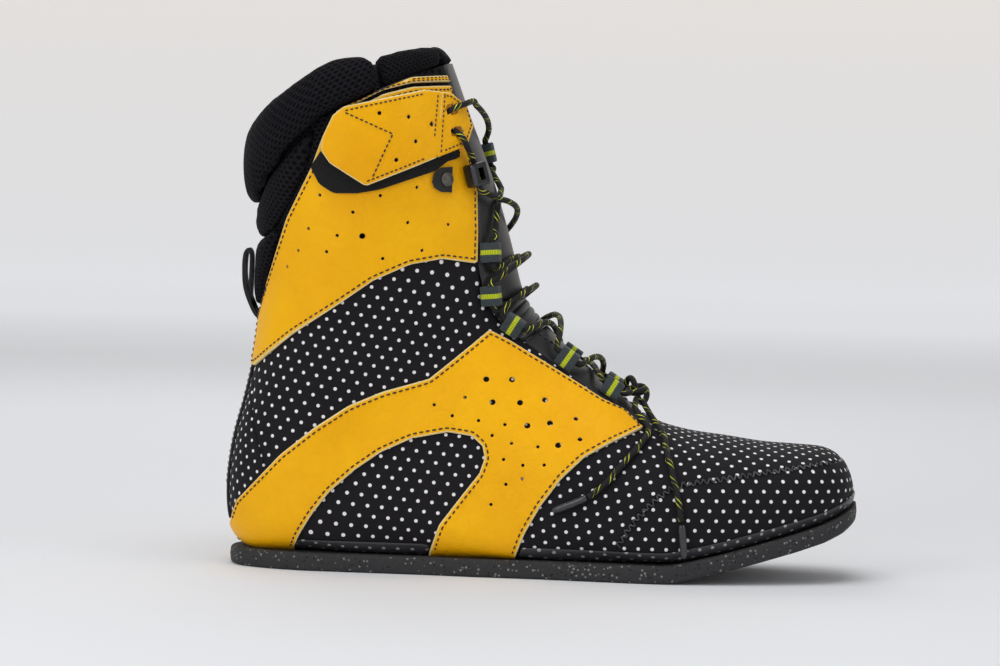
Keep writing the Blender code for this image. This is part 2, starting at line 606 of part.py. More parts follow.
def plate(name, margin, low, thickness, material):
    """A plate of the footprint's shape, this high over the floor, bent up at the toe like the boot."""
    curve = bpy.data.curves.new(name, "CURVE")
    curve.dimensions = "2D"
    curve.fill_mode = "BOTH"
    curve.extrude = thickness / 2 * MM
    outline = footprint(margin, 240)
    spline = curve.splines.new("POLY")
    spline.points.add(len(outline) - 1)
    for point, (x, y) in zip(spline.points, outline):
        point.co = (x * MM, y * MM, 0, 1)
    spline.use_cyclic_u = True
    flat = bpy.data.objects.new("flat_" + name, curve)
    boot.objects.link(flat)
    bpy.context.view_layer.update()
    mesh = bpy.data.meshes.new_from_object(flat.evaluated_get(bpy.context.evaluated_depsgraph_get()))
    bpy.data.objects.remove(flat)
    work = bmesh.new()
    work.from_mesh(mesh)
    bmesh.ops.remove_doubles(work, verts=work.verts, dist=0.00001)
    for x in [placed(place, 0)[0] for place, _ in ROCKER[1:-1]] + [placed(250, 0)[0], placed(265, 0)[0]]:
        geometry = work.verts[:] + work.edges[:] + work.faces[:]
        bmesh.ops.bisect_plane(work, geom=geometry, plane_co=(x * MM, 0, 0), plane_no=(1, 0, 0))
    bmesh.ops.triangulate(work, faces=work.faces)
    for vert in work.verts:
        vert.co.z += (low + thickness / 2 + float(rocker(vert.co.x / MM))) * MM
    bmesh.ops.recalc_face_normals(work, faces=work.faces)
    work.to_mesh(mesh)
    work.free()
    add_object(name, mesh, material)


def reach_along(cloud, centre, ray):
    """How far the footprint reaches from a centre, along a ray 5 mm wide."""
    away = cloud - centre
    ahead = away @ ray
    aside = np.abs(away @ np.array([-ray[1], ray[0]]))
    return ahead[aside < 2.5].max()


def make_upper(laminate):
    floor = bottom_line(BOARD_TURN_UP)
    toe = TOE_SEAM[1:-1]
    start = [p for p in floor if p[0] > 179.3]
    toe_wall = [(179.3, floor[1][1])] + toe + [TOE_SEAM[-1]] + start[::-1]
    panel("toe_wall", laminate, toe_wall, 0, "polka")
    rear = [p for p in VAMP_EDGE if p[1] > 12]
    vamp = [(131.5, floor[1][1]), (179.3, floor[1][1])] + toe + [TOE_SEAM[-1], (310, 100), (188, 100)] + rear
    panel("vamp", laminate, vamp, 0, "polka")
    heel_rear = [p for p in HEEL_EDGE if p[1] > 12]
    tongue_low = [p for p in TONGUE_EDGE if p[1] < 147]
    quarter = heel_rear + [(31, floor[0][1]), (131.5, floor[0][1])] + rear[::-1] + tongue_low[::-1]
    quarter += [(112.8, 146)] + [p for p in QUARTER_TOP if 4 < p[0] < 113]
    for side, word in ((-1, "lateral"), (1, "medial")):
        panel("quarter_" + word, laminate, quarter, side, "polka")
    heel = [(-12, floor[0][1]), (31, floor[0][1])] + heel_rear[::-1] + [(-12, 92)]
    panel("heel_panel", laminate, heel, 0, "polka")
    top_seam = [p for p in QUARTER_TOP if 4 < p[0] < 113]
    cuff = [(-12, 93)] + [(4, 93.5)] + top_seam[::-1] + [(112.8, 146.6)]
    cuff += [p for p in TONGUE_EDGE if p[1] > 147][::-1] + [(-12, 245)]
    panel("cuff_backing", laminate, cuff, 0, "mesh")


def make_inside():
    felt_high = -LAMINATE - GAP - STIFFENER - GAP
    felt = layer("felt", felt_high - LINING, felt_high)
    throat = [p for p in TONGUE_EDGE if p[1] > 84] + [(176, 76), (176, 130), (150, 245)]
    opening = prism("throat", throat, 0)
    seam_x, seam_z = LINING_SEAM
    parts = (("toe", seam_x, 310, -20, 260), ("heel", -20, seam_x, -20, seam_z), ("shaft", -20, seam_x, seam_z, 260))
    for word, rear, front, low, high in parts:
        outline = [(rear, low), (front, low), (front, high), (rear, high)]
        lining = panel("felt_lining_" + word, felt, outline, 0, "felt")
        cut(lining, opening, "DIFFERENCE")
    stiff = layer("stiffener", -LAMINATE - GAP - STIFFENER, -LAMINATE - GAP)
    panel("heel_counter", stiff, COUNTER, 0, "stiffener")
    panel("toe_puff", stiff, PUFF, 0, "stiffener")
    plate("footbed", -WALL - FOOTBED_MARGIN, SOLE_THICKNESS + 2 * GAP + WALL + BED_ROOM, FOOTBED, "foam")


def make_leather():
    hide = layer("hide", GAP, GAP + LEATHER)
    lane = TAPE_WIDTH / 2 + GAP
    for side, word in ((-1, "lateral"), (1, "medial")):
        panel("cuff_overlay_" + word, hide, CUFF, side, "leather", shrink=0, inner=lane)
        panel("cuff_facing_" + word, hide, FACING, side, "leather", shrink=0, inner=lane)
        panel("lower_overlay_" + word, hide, LOWER, side, "leather", shrink=0, inner=lane)
    panel("back_tape", layer("tape", GAP, GAP + TAPE), TAPE_LINE, 0, "webbing", reach=TAPE_WIDTH / 2)


def make_collar():
    puff = layer("puff", GAP, GAP + COLLAR_PUFF)
    panel("collar_roll_middle", puff, MIDDLE_ROLL, 0, "mesh", shrink=0)
    panel("collar_roll_lower", puff, LOWER_ROLL, 0, "mesh", shrink=0)
    top_roll()


def rim_sweep(name, turns, section_at, material, parent=None):
    """A solid swept along the top rim. section_at gives a station's points as (out, up) from the rim."""
    top = RING_COUNT - 1
    points = []
    for turn in turns:
        rim, normal = skin(top, turn), outward(top, turn)
        up = rim - skin(top - 0.5, turn)
        up /= np.linalg.norm(up)
        section = section_at(turn, rim)
        points += [rim + normal * out + up * rise for out, rise in section]
    size, count = len(section), len(turns)
    faces = [tuple(range(size)), tuple(range((count - 1) * size, count * size))]
    for station in range(count - 1):
        for k in range(size):
            a, b = station * size + k, station * size + (k + 1) % size
            faces.append((a, b, b + size, a + size))
    return add_object(name, mesh_of(name, points, faces), material, parent)


def top_roll():
    """The fat roll that folds over the rim, from the notch on the outer side round the back to the inner side."""
    slot_in, slot_out, slot_top = -WALL - 0.9, 1.0, 0.6
    last = 2 * SIDE_COUNT - ROLL_START
    turns = np.concatenate([[ROLL_START], np.arange(math.floor(ROLL_START) + 1, math.ceil(last)), [last]])
    valley_x = [placed(*point)[0] for point in VALLEY]
    valley_z = [placed(*point)[1] for point in VALLEY]

    def section_at(turn, rim):
        behind = math.sin(math.pi * (turn - ROLL_START) / (last - ROLL_START))
        low = min(slot_top + 0.1, np.interp(rim[0], valley_x, valley_z) - rim[2])
        high = np.interp(behind, [0, 0.35, 0.8, 1], ROLL_RISE)
        out = ROLL_BULGE * (0.75 + 0.25 * behind)
        outer = ((0.5, 0.01), (0.88, 0.2), (1.0, 0.47), (0.8, 0.76), (0.35, 0.95))
        inner = ((-1.5, 1.0), (-7.0, 0.94), (-12.0, 0.6), (-13.2, 0.1))
        section = [(out * share, low + (high - low) * level) for share, level in outer]
        section += [(deep, high * level) for deep, level in inner]
        return section + [(-12.6, -9.0), (slot_in, -12.0), (slot_in, slot_top), (slot_out, slot_top), (slot_out, low)]

    rim_sweep("collar_roll_top", turns, section_at, "mesh")
    # The wings carry the padding on from the roll's notch to the front of each cuff.
    for side, word in ((-1, "lateral"), (1, "medial")):
        turns = np.array([WING_END, 2.0, 3.0, ROLL_START - 0.06])
        turns = turns if side < 0 else 2 * SIDE_COUNT - turns
        rise = dict(zip(turns, WING_RISE))

        def wing_at(turn, _):
            high = rise[turn]
            return [(0.6, 0.7), (2.4, high * 0.3), (1.8, high * 0.72), (-1.5, high), (-6.0, high * 0.97),
                    (-9.2, high * 0.6), (-9.6, 0.7)]

        rim_sweep("collar_wing_" + word, turns, wing_at, "mesh")


def make_tongue(laminate, tilt):
    """The tongue in three: the instep part sewn down, the ribbed bend above it, and the shin part that tilts."""
    instep = [(187.7, 100), (170, 110)] + BEND_LOW + TONGUE_EDGE[-3:] + [(187.7, 72)]
    panel("tongue_instep", laminate, instep, 0, "tongue")
    panel("tongue_bellows", laminate, BEND_LOW + [(125, 111.5)] + BEND_HIGH[::-1], 0, "tongue")
    shin = BEND_HIGH + TONGUE_EDGE[-6::-1] + [(120, 245), (150, 190)]
    panel("tongue_shin", laminate, shin, 0, "tongue", tilt)
    pad = layer("pad", -LAMINATE - GAP - PADDING, -LAMINATE - GAP)
    panel("tongue_shin_padding", pad, shin, 0, "felt", tilt)
    low_pad = [(174, 110), (150, 125)] + BEND_HIGH + [(125, 111.5), (146, 97), (168, 82), (174, 78)]
    panel("tongue_instep_padding", pad, low_pad, 0, "felt")

    def pad_at(_, __):
        return [(-0.3, 0.5), (-0.6, 5.0), (-2.6, 9.0), (-6.0, 11.0), (-9.5, 9.5), (-10.8, 5.0), (-10.2, 0.5)]

    turns = np.array([-1, -0.5, 0, 0.5, 1]) * TOP_PAD_REACH
    rim_sweep("tongue_top_pad", turns, pad_at, "mesh", tilt)


# Closure and lacing


def axis_empty(name, place):
    """An empty on a joint's axis, which the joint's moving pieces hang from."""
    empty = bpy.data.objects.new(name, None)
    empty.location = Vector(place) * MM
    boot.objects.link(empty)
    bpy.context.view_layer.update()
    return empty


def make_closure():
    patch = 2 * GAP + LEATHER
    panel("loop_patch", layer("loops", patch, patch + LOOP_PATCH), LOOP_AREA, -1, "pile")
    hook = patch + LOOP_PATCH + GAP
    tab = hook + HOOK_PATCH + GAP
    peel = axis_empty("pull_tab_axis", over(*TAB_FOLD[1], tab + LEATHER))
    panel("hook_patch", layer("hooks", hook, hook + HOOK_PATCH), HOOK_AREA, -1, "pile", peel)
    flap = layer("tab", tab, tab + LEATHER)
    panel("pull_tab", flap, PULL_TAB_REAR + TAB_FOLD, -1, "leather", peel, shrink=FOLD_GAP / 2)
    base = panel("pull_tab_base", flap, PULL_TAB_FRONT + TAB_FOLD[::-1], -1, "leather", shrink=FOLD_GAP / 2)
    wide = LACE_DIAMETER / 2 + LACE_ROOM
    for number, hole in enumerate(TAB_HOLES, 1):
        drill = turned("lace_hole_%d" % number, hole, [(wide, tab - 1.5), (wide, tab + LEATHER + 1.5)])
        cut(base, cutter_of(drill), "DIFFERENCE")
    pivot, _, normal = way(*RIVET, 0, -1)
    swivel = axis_empty("lace_lock_axis", pivot + normal * patch)
    strap = panel("lock_strap", layer("strap", patch, patch + STRAP), LOCK_STRAP, -1, "webbing", swivel)
    eye = RIVET_SHANK + GAP
    cut(strap, cutter_of(turned("rivet_hole", RIVET, [(eye, patch - 1), (eye, patch + STRAP + 1)])), "DIFFERENCE")
    seat = patch + STRAP + GAP
    rivet = [(RIVET_SHANK, patch), (RIVET_SHANK, seat), (RIVET_RADIUS, seat), (RIVET_RADIUS, seat + 0.5),
             (RIVET_RADIUS - 0.9, seat + RIVET_HEAD)]
    add_object("lock_rivet", turned("lock_rivet", RIVET, rivet), "gunmetal")
    lace_lock(swivel)


def turned(name, at, profile):
    """A round piece on the skin's normal at a pattern place. The profile gives radii and heights over the skin."""
    sides = 20
    place, _, normal = way(*at, 0, -1)
    angles = [2 * math.pi * k / sides for k in range(sides)]
    points = [(r * math.cos(a), r * math.sin(a), h) for r, h in profile for a in angles]
    last = (len(profile) - 1) * sides
    faces = [tuple(range(sides)), tuple(range(last, last + sides))]
    for row in range(0, last, sides):
        faces += [(row + k, row + (k + 1) % sides, row + sides + (k + 1) % sides, row + sides + k) for k in range(sides)]
    mesh = mesh_of(name, points, faces)
    mesh.transform(frame_at(place, (0, 0, 1), normal))
    return mesh


def block(name, size, matrix):
    work = bmesh.new()
    bmesh.ops.create_cube(work, size=MM)
    bmesh.ops.scale(work, vec=size, verts=work.verts)
    mesh = bpy.data.meshes.new(name)
    work.to_mesh(mesh)
    work.free()
    mesh.transform(matrix)
    return mesh


def lock_seat():
    """The lace lock's matrix: its x is the lace's way through it, and its z the skin's normal."""
    place, _, normal = way(*LOCK, 0, -1)
    middle = 2 * GAP + LEATHER + LOCK_LIFT + LACE_DIAMETER / 2 + LACE_ROOM / 2 + LOCK_WALL
    return frame_at(place + normal * middle, LOCK_WAY, normal)


def lace_lock(swivel):
    """The square lace lock: a block with a bore for the lace and a window in its face."""
    seat = lock_seat()
    room = LACE_DIAMETER + LACE_ROOM
    deep = room + 2 * LOCK_WALL
    lock = add_object("lace_lock", block("lace_lock", (LOCK_SIZE, LOCK_SIZE, deep), seat), "gunmetal", swivel)
    edges = lock.modifiers.new("edges", "BEVEL")
    edges.width = 1.2 * MM
    edges.segments = 2
    bore = bpy.data.meshes.new("lock_bore")
    work = bmesh.new()
    bmesh.ops.create_cone(work, cap_ends=True, segments=16, radius1=room / 2 * MM, radius2=room / 2 * MM,
                          depth=2 * LOCK_SIZE * MM, matrix=Matrix.Rotation(math.pi / 2, 4, "Y"))
    work.to_mesh(bore)
    work.free()
    bore.transform(seat)
    window = block("lock_window", LOCK_WINDOW, seat @ Matrix.Translation((0, 0, LOCK_WINDOW[2] / 2 * MM)))
    for cutter in (bore, window):
        cut(lock, cutter_of(cutter), "DIFFERENCE")


def lace_loop(name, at, degrees, side):
    """One folded webbing loop. Returns its hole as points, from the loop's low end to its high end."""
    place, along, normal = way(*at, degrees, side)
    room, wall, reach = LACE_DIAMETER + LOOP_ROOM, WEBBING, WEBBING_REACH
    low, high = WEBBING_LIFT, WEBBING_LIFT + room + 2 * wall
    middle, nose = (low + high) / 2, reach - room / 2 - wall
    outline = [(0.2, low), (nose, low), (reach - 0.8, middle - 1.6), (reach, middle), (reach - 0.8, middle + 1.6),
               (nose, high), (nose - LOOP_LONGER, high), (0.2, low + 2.1 * wall)]
    turns = [math.radians(turn) for turn in (-150, -90, -45, 0, 45, 90, 135, 180)]
    # The fold leaves the hole longer towards the leather than it is high.
    hole = [(nose + room / 2 * math.cos(turn) - (LOOP_LONGER if math.cos(turn) < -0.1 else 0),
             middle + room / 2 * math.sin(turn)) for turn in turns]
    ring_of(name, outline, hole, WEBBING_WIDTH, frame_at(place, along, normal), "webbing")
    upward = np.cross(normal, along)
    upward *= math.copysign(1.0, upward[2])
    centre = place + along * nose + normal * middle
    out = WEBBING_WIDTH / 2
    stations = ((-out - 2.7, -0.8), (-out - 1.6, 1.0), (-out + 0.8, 1.2), (0, 0.8), (out - 0.8, 1.2),
                (out + 1.6, 1.0), (out + 2.7, -0.8))
    return [centre + upward * rise - along * back for rise, back in stations]


def crossing(start, end, peak):
    """Points over the tongue from one real place to another on the other side, rising or dipping to a height."""
    first, last = nearest(start), nearest(end)
    points = []
    for step in (0.14, 0.32, 0.5, 0.68, 0.86):
        ring, turn, height = first + (last - first) * step
        share = math.sin(math.pi * step) ** 0.5
        points.append(off_skin(ring, turn, height + (peak - height) * share))
    return points


def make_lacing():
    passes = {}
    for side, word in ((-1, "lateral"), (1, "medial")):
        for number, (at, degrees) in enumerate(LACE_LOOPS, 1):
            passes[side, number] = lace_loop("lace_loop_%s_%d" % (word, number), at, degrees, side)
    top = lace_loop("lace_loop_medial_top", *TOP_LOOP, 1)

    knot = off_skin(*KNOT, 2 * GAP + LEATHER + LACE_DIAMETER / 2 + KNOT_SCALE * KNOT_RISE)
    knot_reach = 3 * KNOT_SCALE + LACE_DIAMETER / 2 + GAP
    seat = frame_at(knot, (1, 0, 0), outward(*KNOT))
    loop = []
    for step in range(36):
        turn = 2 * math.pi * step / 36
        place = Vector((math.sin(turn) + 2 * math.sin(2 * turn), math.cos(turn) - 2 * math.cos(2 * turn),
                        -KNOT_RISE * math.sin(3 * turn)))
        loop.append(seat @ (place * KNOT_SCALE * MM) / MM)
    tube("lace_knot", loop, LACE_DIAMETER, "lace", closed=True)

    def leave_knot(to):
        out = np.asarray(to) - knot
        return knot + out / np.linalg.norm(out) * knot_reach

    def climb(side, peak):
        """From the knot up to the first loop, from side to side."""
        route = [leave_knot(passes[side, 5][0])]
        for number in (5, 4, 3, 2, 1):
            route += passes[side, number]
            side = -side
            if number > 1:
                route += crossing(passes[-side, number][-1], passes[side, number - 1][0], peak)
        return route

    lace = climb(-1, LOW_STRAND)
    lace += [over(*point) for point in FRONT_RUN]
    lace += crossing(lace[-1], top[0], LOW_STRAND) + top
    tab_run = [over(*point) for point in TAB_RUN]
    lace += crossing(top[-1], tab_run[0], HIGH_STRAND) + tab_run
    seat = lock_seat()
    lace += [seat @ Vector((reach * MM, 0, 0)) / MM for reach in (LOCK_SIZE / 2 + 1.5, 0, -LOCK_SIZE / 2 - 1.5)]
    lace += [over(*point) for point in LOCK_RUN]
    other = climb(1, HIGH_STRAND)
    lace += crossing(lace[-1], other[-1], HIGH_STRAND) + other[::-1]
    tube("lace", lace, LACE_DIAMETER, "lace")

    ends = (("long", LONG_LEAVES, LONG_END, LONG_AGLET), ("short", SHORT_LEAVES, SHORT_END, SHORT_AGLET))
    for name, leaves, line, tip in ends:
        route = [off_skin(*leaves)] + [over(*point) for point in line]
        tube("lace_end_" + name, [leave_knot(route[0])] + route, LACE_DIAMETER, "lace")
        tube("aglet_" + name, [over(*point) for point in tip], AGLET_DIAMETER, "aglet")


def make_pull_loop():
    hinge = axis_empty("heel_pull_loop_axis", (placed(*PULL_LOOP_HINGE)[0], 0, placed(*PULL_LOOP_HINGE)[1]))
    outline, gap = [placed(*point) for point in PULL_LOOP], [placed(*point) for point in PULL_GAP]
    ring_of("heel_pull_loop", outline, gap, PULL_LOOP_WIDTH, Matrix.Identity(4), "webbing", hinge)


def main():
    laminate = make_sole()
    make_upper(laminate)
    make_inside()
    make_leather()
    make_collar()
    x, z = placed(*TONGUE_HINGE)
    make_tongue(laminate, axis_empty("tongue_axis", (x, 0, z)))
    make_closure()
    make_lacing()
    make_pull_loop()


clear_scene()
boot = collection("inner_boot", True)
cutters = collection("cutters", False)
GRID = control_grid()
main()
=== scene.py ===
import math

import bmesh
import bpy
import numpy as np
from mathutils import Matrix, Vector, geometry, kdtree
from mathutils.bvhtree import BVHTree


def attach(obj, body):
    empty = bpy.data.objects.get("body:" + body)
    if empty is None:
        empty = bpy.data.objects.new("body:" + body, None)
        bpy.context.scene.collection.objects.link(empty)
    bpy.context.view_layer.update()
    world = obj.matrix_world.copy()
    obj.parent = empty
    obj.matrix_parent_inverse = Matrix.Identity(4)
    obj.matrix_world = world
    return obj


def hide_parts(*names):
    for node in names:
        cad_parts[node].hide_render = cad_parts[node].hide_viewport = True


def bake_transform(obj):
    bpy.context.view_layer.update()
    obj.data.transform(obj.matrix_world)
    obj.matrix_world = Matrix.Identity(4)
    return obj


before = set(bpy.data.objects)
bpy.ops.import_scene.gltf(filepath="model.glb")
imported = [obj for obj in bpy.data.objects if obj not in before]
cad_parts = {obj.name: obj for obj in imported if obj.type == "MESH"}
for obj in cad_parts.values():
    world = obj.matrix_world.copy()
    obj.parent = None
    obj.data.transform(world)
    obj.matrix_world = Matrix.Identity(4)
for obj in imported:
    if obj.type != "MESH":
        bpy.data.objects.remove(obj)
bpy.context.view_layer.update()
mm = 0.001
print("frame loaded")

# The boot's skin: rings that fan round the ankle. Every piece is a height over it, in millimetres.
# front x and z, back x and z, half width, place of the widest point, roundness of the front and back halves
skinRings = [
    (284.4, 42.5, 284.4, 38.0, 6, 0.5, 2.2, 2.2),
    (282.9, 48.0, 282.9, 34.4, 18, 0.5, 2.3, 2.6),
    (279.0, 54.6, 279.0, 30.9, 28, 0.52, 2.3, 3.0),
    (271.0, 59.2, 271.0, 27.2, 35.5, 0.55, 2.3, 4.0),
    (258.0, 60.4, 258.0, 23.0, 41, 0.58, 2.3, 5.0),
    (243.0, 61.3, 243.0, 18.7, 45, 0.6, 2.2, 6.0),
    (226.0, 63.6, 226.0, 13.9, 48.5, 0.62, 2.2, 6.5),
    (208.0, 66.0, 206.0, 9.2, 50, 0.64, 2.2, 7.0),
    (193.0, 70.5, 184.0, 8.3, 49, 0.65, 2.2, 7.0),
    (179.0, 80.0, 160.0, 8.3, 46, 0.66, 2.2, 7.0),
    (164.0, 92.5, 132.0, 8.3, 43, 0.68, 2.2, 7.0),
    (151.0, 104.0, 104.0, 8.3, 40.5, 0.7, 2.3, 7.0),
    (142.5, 113.0, 76.0, 8.3, 39, 0.7, 2.4, 6.5),
    (137.5, 118.5, 48.0, 8.3, 38, 0.7, 2.5, 5.5),
    (134.3, 123.0, 26.0, 8.3, 37, 0.68, 2.5, 4.0),
    (132.4, 127.0, 12.5, 9.0, 36.5, 0.66, 2.5, 3.0),
    (131.0, 131.0, 4.6, 13.5, 36.5, 0.64, 2.5, 2.4),
    (129.8, 135.5, 1.0, 22.5, 37, 0.62, 2.4, 2.3),
    (128.3, 141.5, 0.2, 38.0, 37.5, 0.6, 2.4, 2.2),
    (126.3, 149.0, 2.6, 57.0, 38.5, 0.58, 2.3, 2.2),
    (123.8, 157.5, 7.6, 77.0, 39.5, 0.56, 2.2, 2.2),
    (121.2, 166.0, 11.2, 95.0, 41, 0.54, 2.2, 2.1),
    (117.2, 178.0, 13.4, 113.0, 43, 0.52, 2.1, 2.1),
    (112.0, 191.5, 14.4, 133.0, 45.5, 0.5, 2.1, 2.1),
    (106.6, 205.0, 14.6, 152.0, 47.5, 0.5, 2.1, 2.1),
    (102.0, 217.5, 14.0, 171.0, 48.5, 0.5, 2.1, 2.1),
    (97.5, 229.3, 13.2, 188.0, 49, 0.5, 2.1, 2.1),
]
sideCount = 11
topRing = len(skinRings) - 1
middleX = 142.8  # half the boot's length, so that the origin is under its middle
toeBend = 6.0
gap = 0.3
hide = 1.4
laminate = 2.8
innerFace = laminate + 2 * gap + 1.1
toeRise = [(-20, 0), (200, 0), (206, 0.9), (226, 5.6), (243, 10.4), (258, 14.7), (271, 18.9), (279, 22.6), (290, 30.0)]


def rocker(x):
    return np.interp(np.asarray(x) + middleX, [p[0] for p in toeRise], [p[1] for p in toeRise])


def bend(x):
    return toeBend * np.clip((np.asarray(x) + middleX - 150) / 135.6, 0, None) ** 2


def blendWeights(t):
    return np.stack([(-t + 2 * t**2 - t**3) / 2, (2 - 5 * t**2 + 3 * t**3) / 2,
                     (t + 4 * t**2 - 3 * t**3) / 2, (t**3 - t**2) / 2])


def smoothRows(rows, places):
    rows = np.asarray(rows, float)
    low = np.clip(np.floor(places).astype(int), 0, len(rows) - 2)
    index = np.clip(low + np.arange(-1, 3)[:, None], 0, len(rows) - 1)
    return np.einsum("ab,ab...->b...", blendWeights(np.asarray(places) - low), rows[index])


def halfRing(frontX, frontZ, backX, backZ, half, widest, frontPower, backPower):
    turn = np.linspace(0, math.pi / 2, 80)
    rise, fall = np.sin(turn), np.cos(turn)
    along = np.concatenate([widest * (1 - fall ** (2 / frontPower)),
                            (widest + (1 - widest) * rise ** (2 / backPower))[1:]])
    out = half * np.concatenate([rise ** (2 / frontPower), (fall ** (2 / backPower))[1:]])
    line = np.stack([frontX - middleX + (backX - frontX) * along, out, frontZ + (backZ - frontZ) * along], 1)
    run = np.concatenate([[0], np.cumsum(np.linalg.norm(np.diff(line, axis=0), axis=1))])
    even = np.linspace(0, run[-1], sideCount + 1)
    return np.stack([np.interp(even, run, line[:, k]) for k in range(3)], 1)


ringPoints = []
for ringRow in skinRings:
    ringSide = halfRing(*ringRow)
    ringPoints.append(np.concatenate([ringSide * (1, -1, 1), ringSide[-2:0:-1]]))
ringPoints = np.array(ringPoints)
ringPoints[:, :, 1] += bend(ringPoints[:, :, 0])


def skin(ring, turn):
    ring, turn = np.broadcast_arrays(np.asarray(ring, float), np.asarray(turn, float))
    shape, ring, turn = ring.shape, ring.ravel(), turn.ravel()
    lowR, lowT = np.clip(np.floor(ring).astype(int), 0, topRing - 1), np.floor(turn).astype(int)
    indexR = np.clip(lowR + np.arange(-1, 3)[:, None], 0, topRing)
    indexT = (lowT + np.arange(-1, 3)[:, None]) % (2 * sideCount)
    point = np.einsum("an,bn,abnk->nk", blendWeights(ring - lowR), blendWeights(turn - lowT),
                      ringPoints[indexR[:, None], indexT[None]])
    return point.reshape(*shape, 3)


def slopes(ring, turn):
    # how the skin moves with the ring and with the turn
    ring = np.asarray(ring, float)
    low, high = np.clip(ring - 0.04, 0, None), np.clip(ring + 0.04, None, topRing)
    along = (skin(high, turn) - skin(low, turn)) / (high - low)[..., None]
    return along, (skin(ring, turn + 0.04) - skin(ring, turn - 0.04)) / 0.08


def outward(ring, turn):
    normal = np.cross(*slopes(ring, turn))
    return normal / np.linalg.norm(normal, axis=-1, keepdims=True)


def offSkin(ring, turn, height):
    return skin(ring, turn) + outward(ring, turn) * np.asarray(height, float)[..., None]


tableR, tableT = [a.ravel() for a in np.meshgrid(np.arange(0, topRing + 0.01, 0.125),
                                                 np.arange(0, 2 * sideCount, 0.125), indexing="ij")]
tableP = skin(tableR, tableT)


def settle(targets, parts, pick, lowT, highT):
    # ring and turn where the skin comes nearest each target, in the listed coordinates
    tree = kdtree.KDTree(int(pick.sum()))
    for k, spot in enumerate(tableP[pick][:, parts]):
        tree.insert((*spot, 0.0)[:3], k)
    tree.balance()
    near = [tree.find((*target, 0.0)[:3])[1] for target in targets]
    at = np.stack([tableR[pick][near], tableT[pick][near]], 1)
    for _ in range(8):
        miss = targets - skin(at[:, 0], at[:, 1])[:, parts]
        jac = np.stack([s[:, parts] for s in slopes(at[:, 0], at[:, 1])], 2)
        square = np.einsum("nki,nkj->nij", jac, jac) + 0.02 * np.eye(2)
        move = np.linalg.solve(square, np.einsum("nki,nk->ni", jac, miss)[..., None])[..., 0]
        at = np.clip(at + np.clip(move, -0.3, 0.3), (0, lowT), (topRing, highT))
    return at


def findMany(places, side=-1):
    places = np.atleast_2d(np.asarray(places, float))[:, :2] - (middleX, 0)
    at = settle(places, [0, 2], tableT <= sideCount, 0, sideCount)
    if side > 0:
        at[:, 1] = 2 * sideCount - at[:, 1]
    return at


def nearestMany(points):
    return settle(np.atleast_2d(np.asarray(points, float)), [0, 1, 2], tableT >= 0, 0, 2 * sideCount)


def over(places, height=None, side=-1):
    # points over the skin at side-view places, each with its own height
    places = np.atleast_2d(np.asarray(places, float))
    at = findMany(places, side)
    return offSkin(at[:, 0], at[:, 1], places[:, 2] if height is None else np.full(len(at), float(height)))


view = {"lens": 135, "away": 1.707, "aim": (-0.0206, 0.0, 0.1075), "turn": 3.0, "rise": 2.2, "roll": 1.4}
studio = {"floor": "#E6E8EC", "wall": "#EFECE9", "glow": 0.42}


def colour(code):
    # sRGB hex to linear
    parts = [int(code[k:k + 2], 16) / 255 for k in (1, 3, 5)]
    return tuple(c / 12.92 if c <= 0.04045 else ((c + 0.055) / 1.055) ** 2.4 for c in parts) + (1.0,)


colourMix = {"data_type": "RGBA"}


def addNode(tree, kind, settings=None, *feeds, out=None, **links):
    # one node: its settings, or the operation of a maths node, then what each open input gets: a socket, number or hex
    node = tree.nodes.new("ShaderNode" + kind)
    settings = {"operation": settings} if isinstance(settings, str) else settings or {}
    for key, value in settings.items():
        if key in node.inputs.keys():
            node.inputs[key].default_value = value
        else:
            setattr(node, key, value)
    slots = list(zip([slot for slot in node.inputs if slot.enabled], feeds))
    slots += [(node.inputs[key], value) for key, value in links.items()]
    for slot, value in slots:
        if isinstance(value, bpy.types.NodeSocket):
            tree.links.new(slot, value)
        else:
            slot.default_value = colour(value) if isinstance(value, str) else value
    return node.outputs[out] if out else next(end for end in node.outputs if end.enabled)


def startMaterial(name, base=None, **settings):
    # a Principled material; settings are the shader's own sockets, with _ for a space
    material = bpy.data.materials.new(name)
    material.use_nodes = True
    shader = material.node_tree.nodes["Principled BSDF"]
    if base:
        shader.inputs["Base Color"].default_value = colour(base)
    for key, value in settings.items():
        shader.inputs[key.replace("_", " ")].default_value = value
    return material, material.node_tree, shader


def setCamera():
    camera = bpy.data.objects.new("studioCamera", bpy.data.cameras.new("studioCamera"))
    camera.data.lens = view["lens"]
    turn, rise = math.radians(view["turn"]), math.radians(view["rise"])
    out = Vector((math.sin(turn) * math.cos(rise), -math.cos(turn) * math.cos(rise), math.sin(rise)))
    look = out.to_track_quat("Z", "Y").to_matrix().to_4x4() @ Matrix.Rotation(math.radians(view["roll"]), 4, "Z")
    camera.matrix_world = Matrix.Translation(Vector(view["aim"]) + out * view["away"]) @ look
    bpy.context.scene.collection.objects.link(camera)
    bpy.context.scene.camera = camera
    bpy.context.scene.view_settings.view_transform = "Standard"  # the hex colours come out as they are written


def areaLight(name, place, aim, size, power):
    light = bpy.data.lights.new(name, "AREA")
    light.shape, light.size, light.energy = "DISK", size, power
    lamp = bpy.data.objects.new(name, light)
    lamp.location = place
    lamp.rotation_euler = (Vector(place) - Vector(aim)).to_track_quat("Z", "Y").to_euler()
    bpy.context.scene.collection.objects.link(lamp)


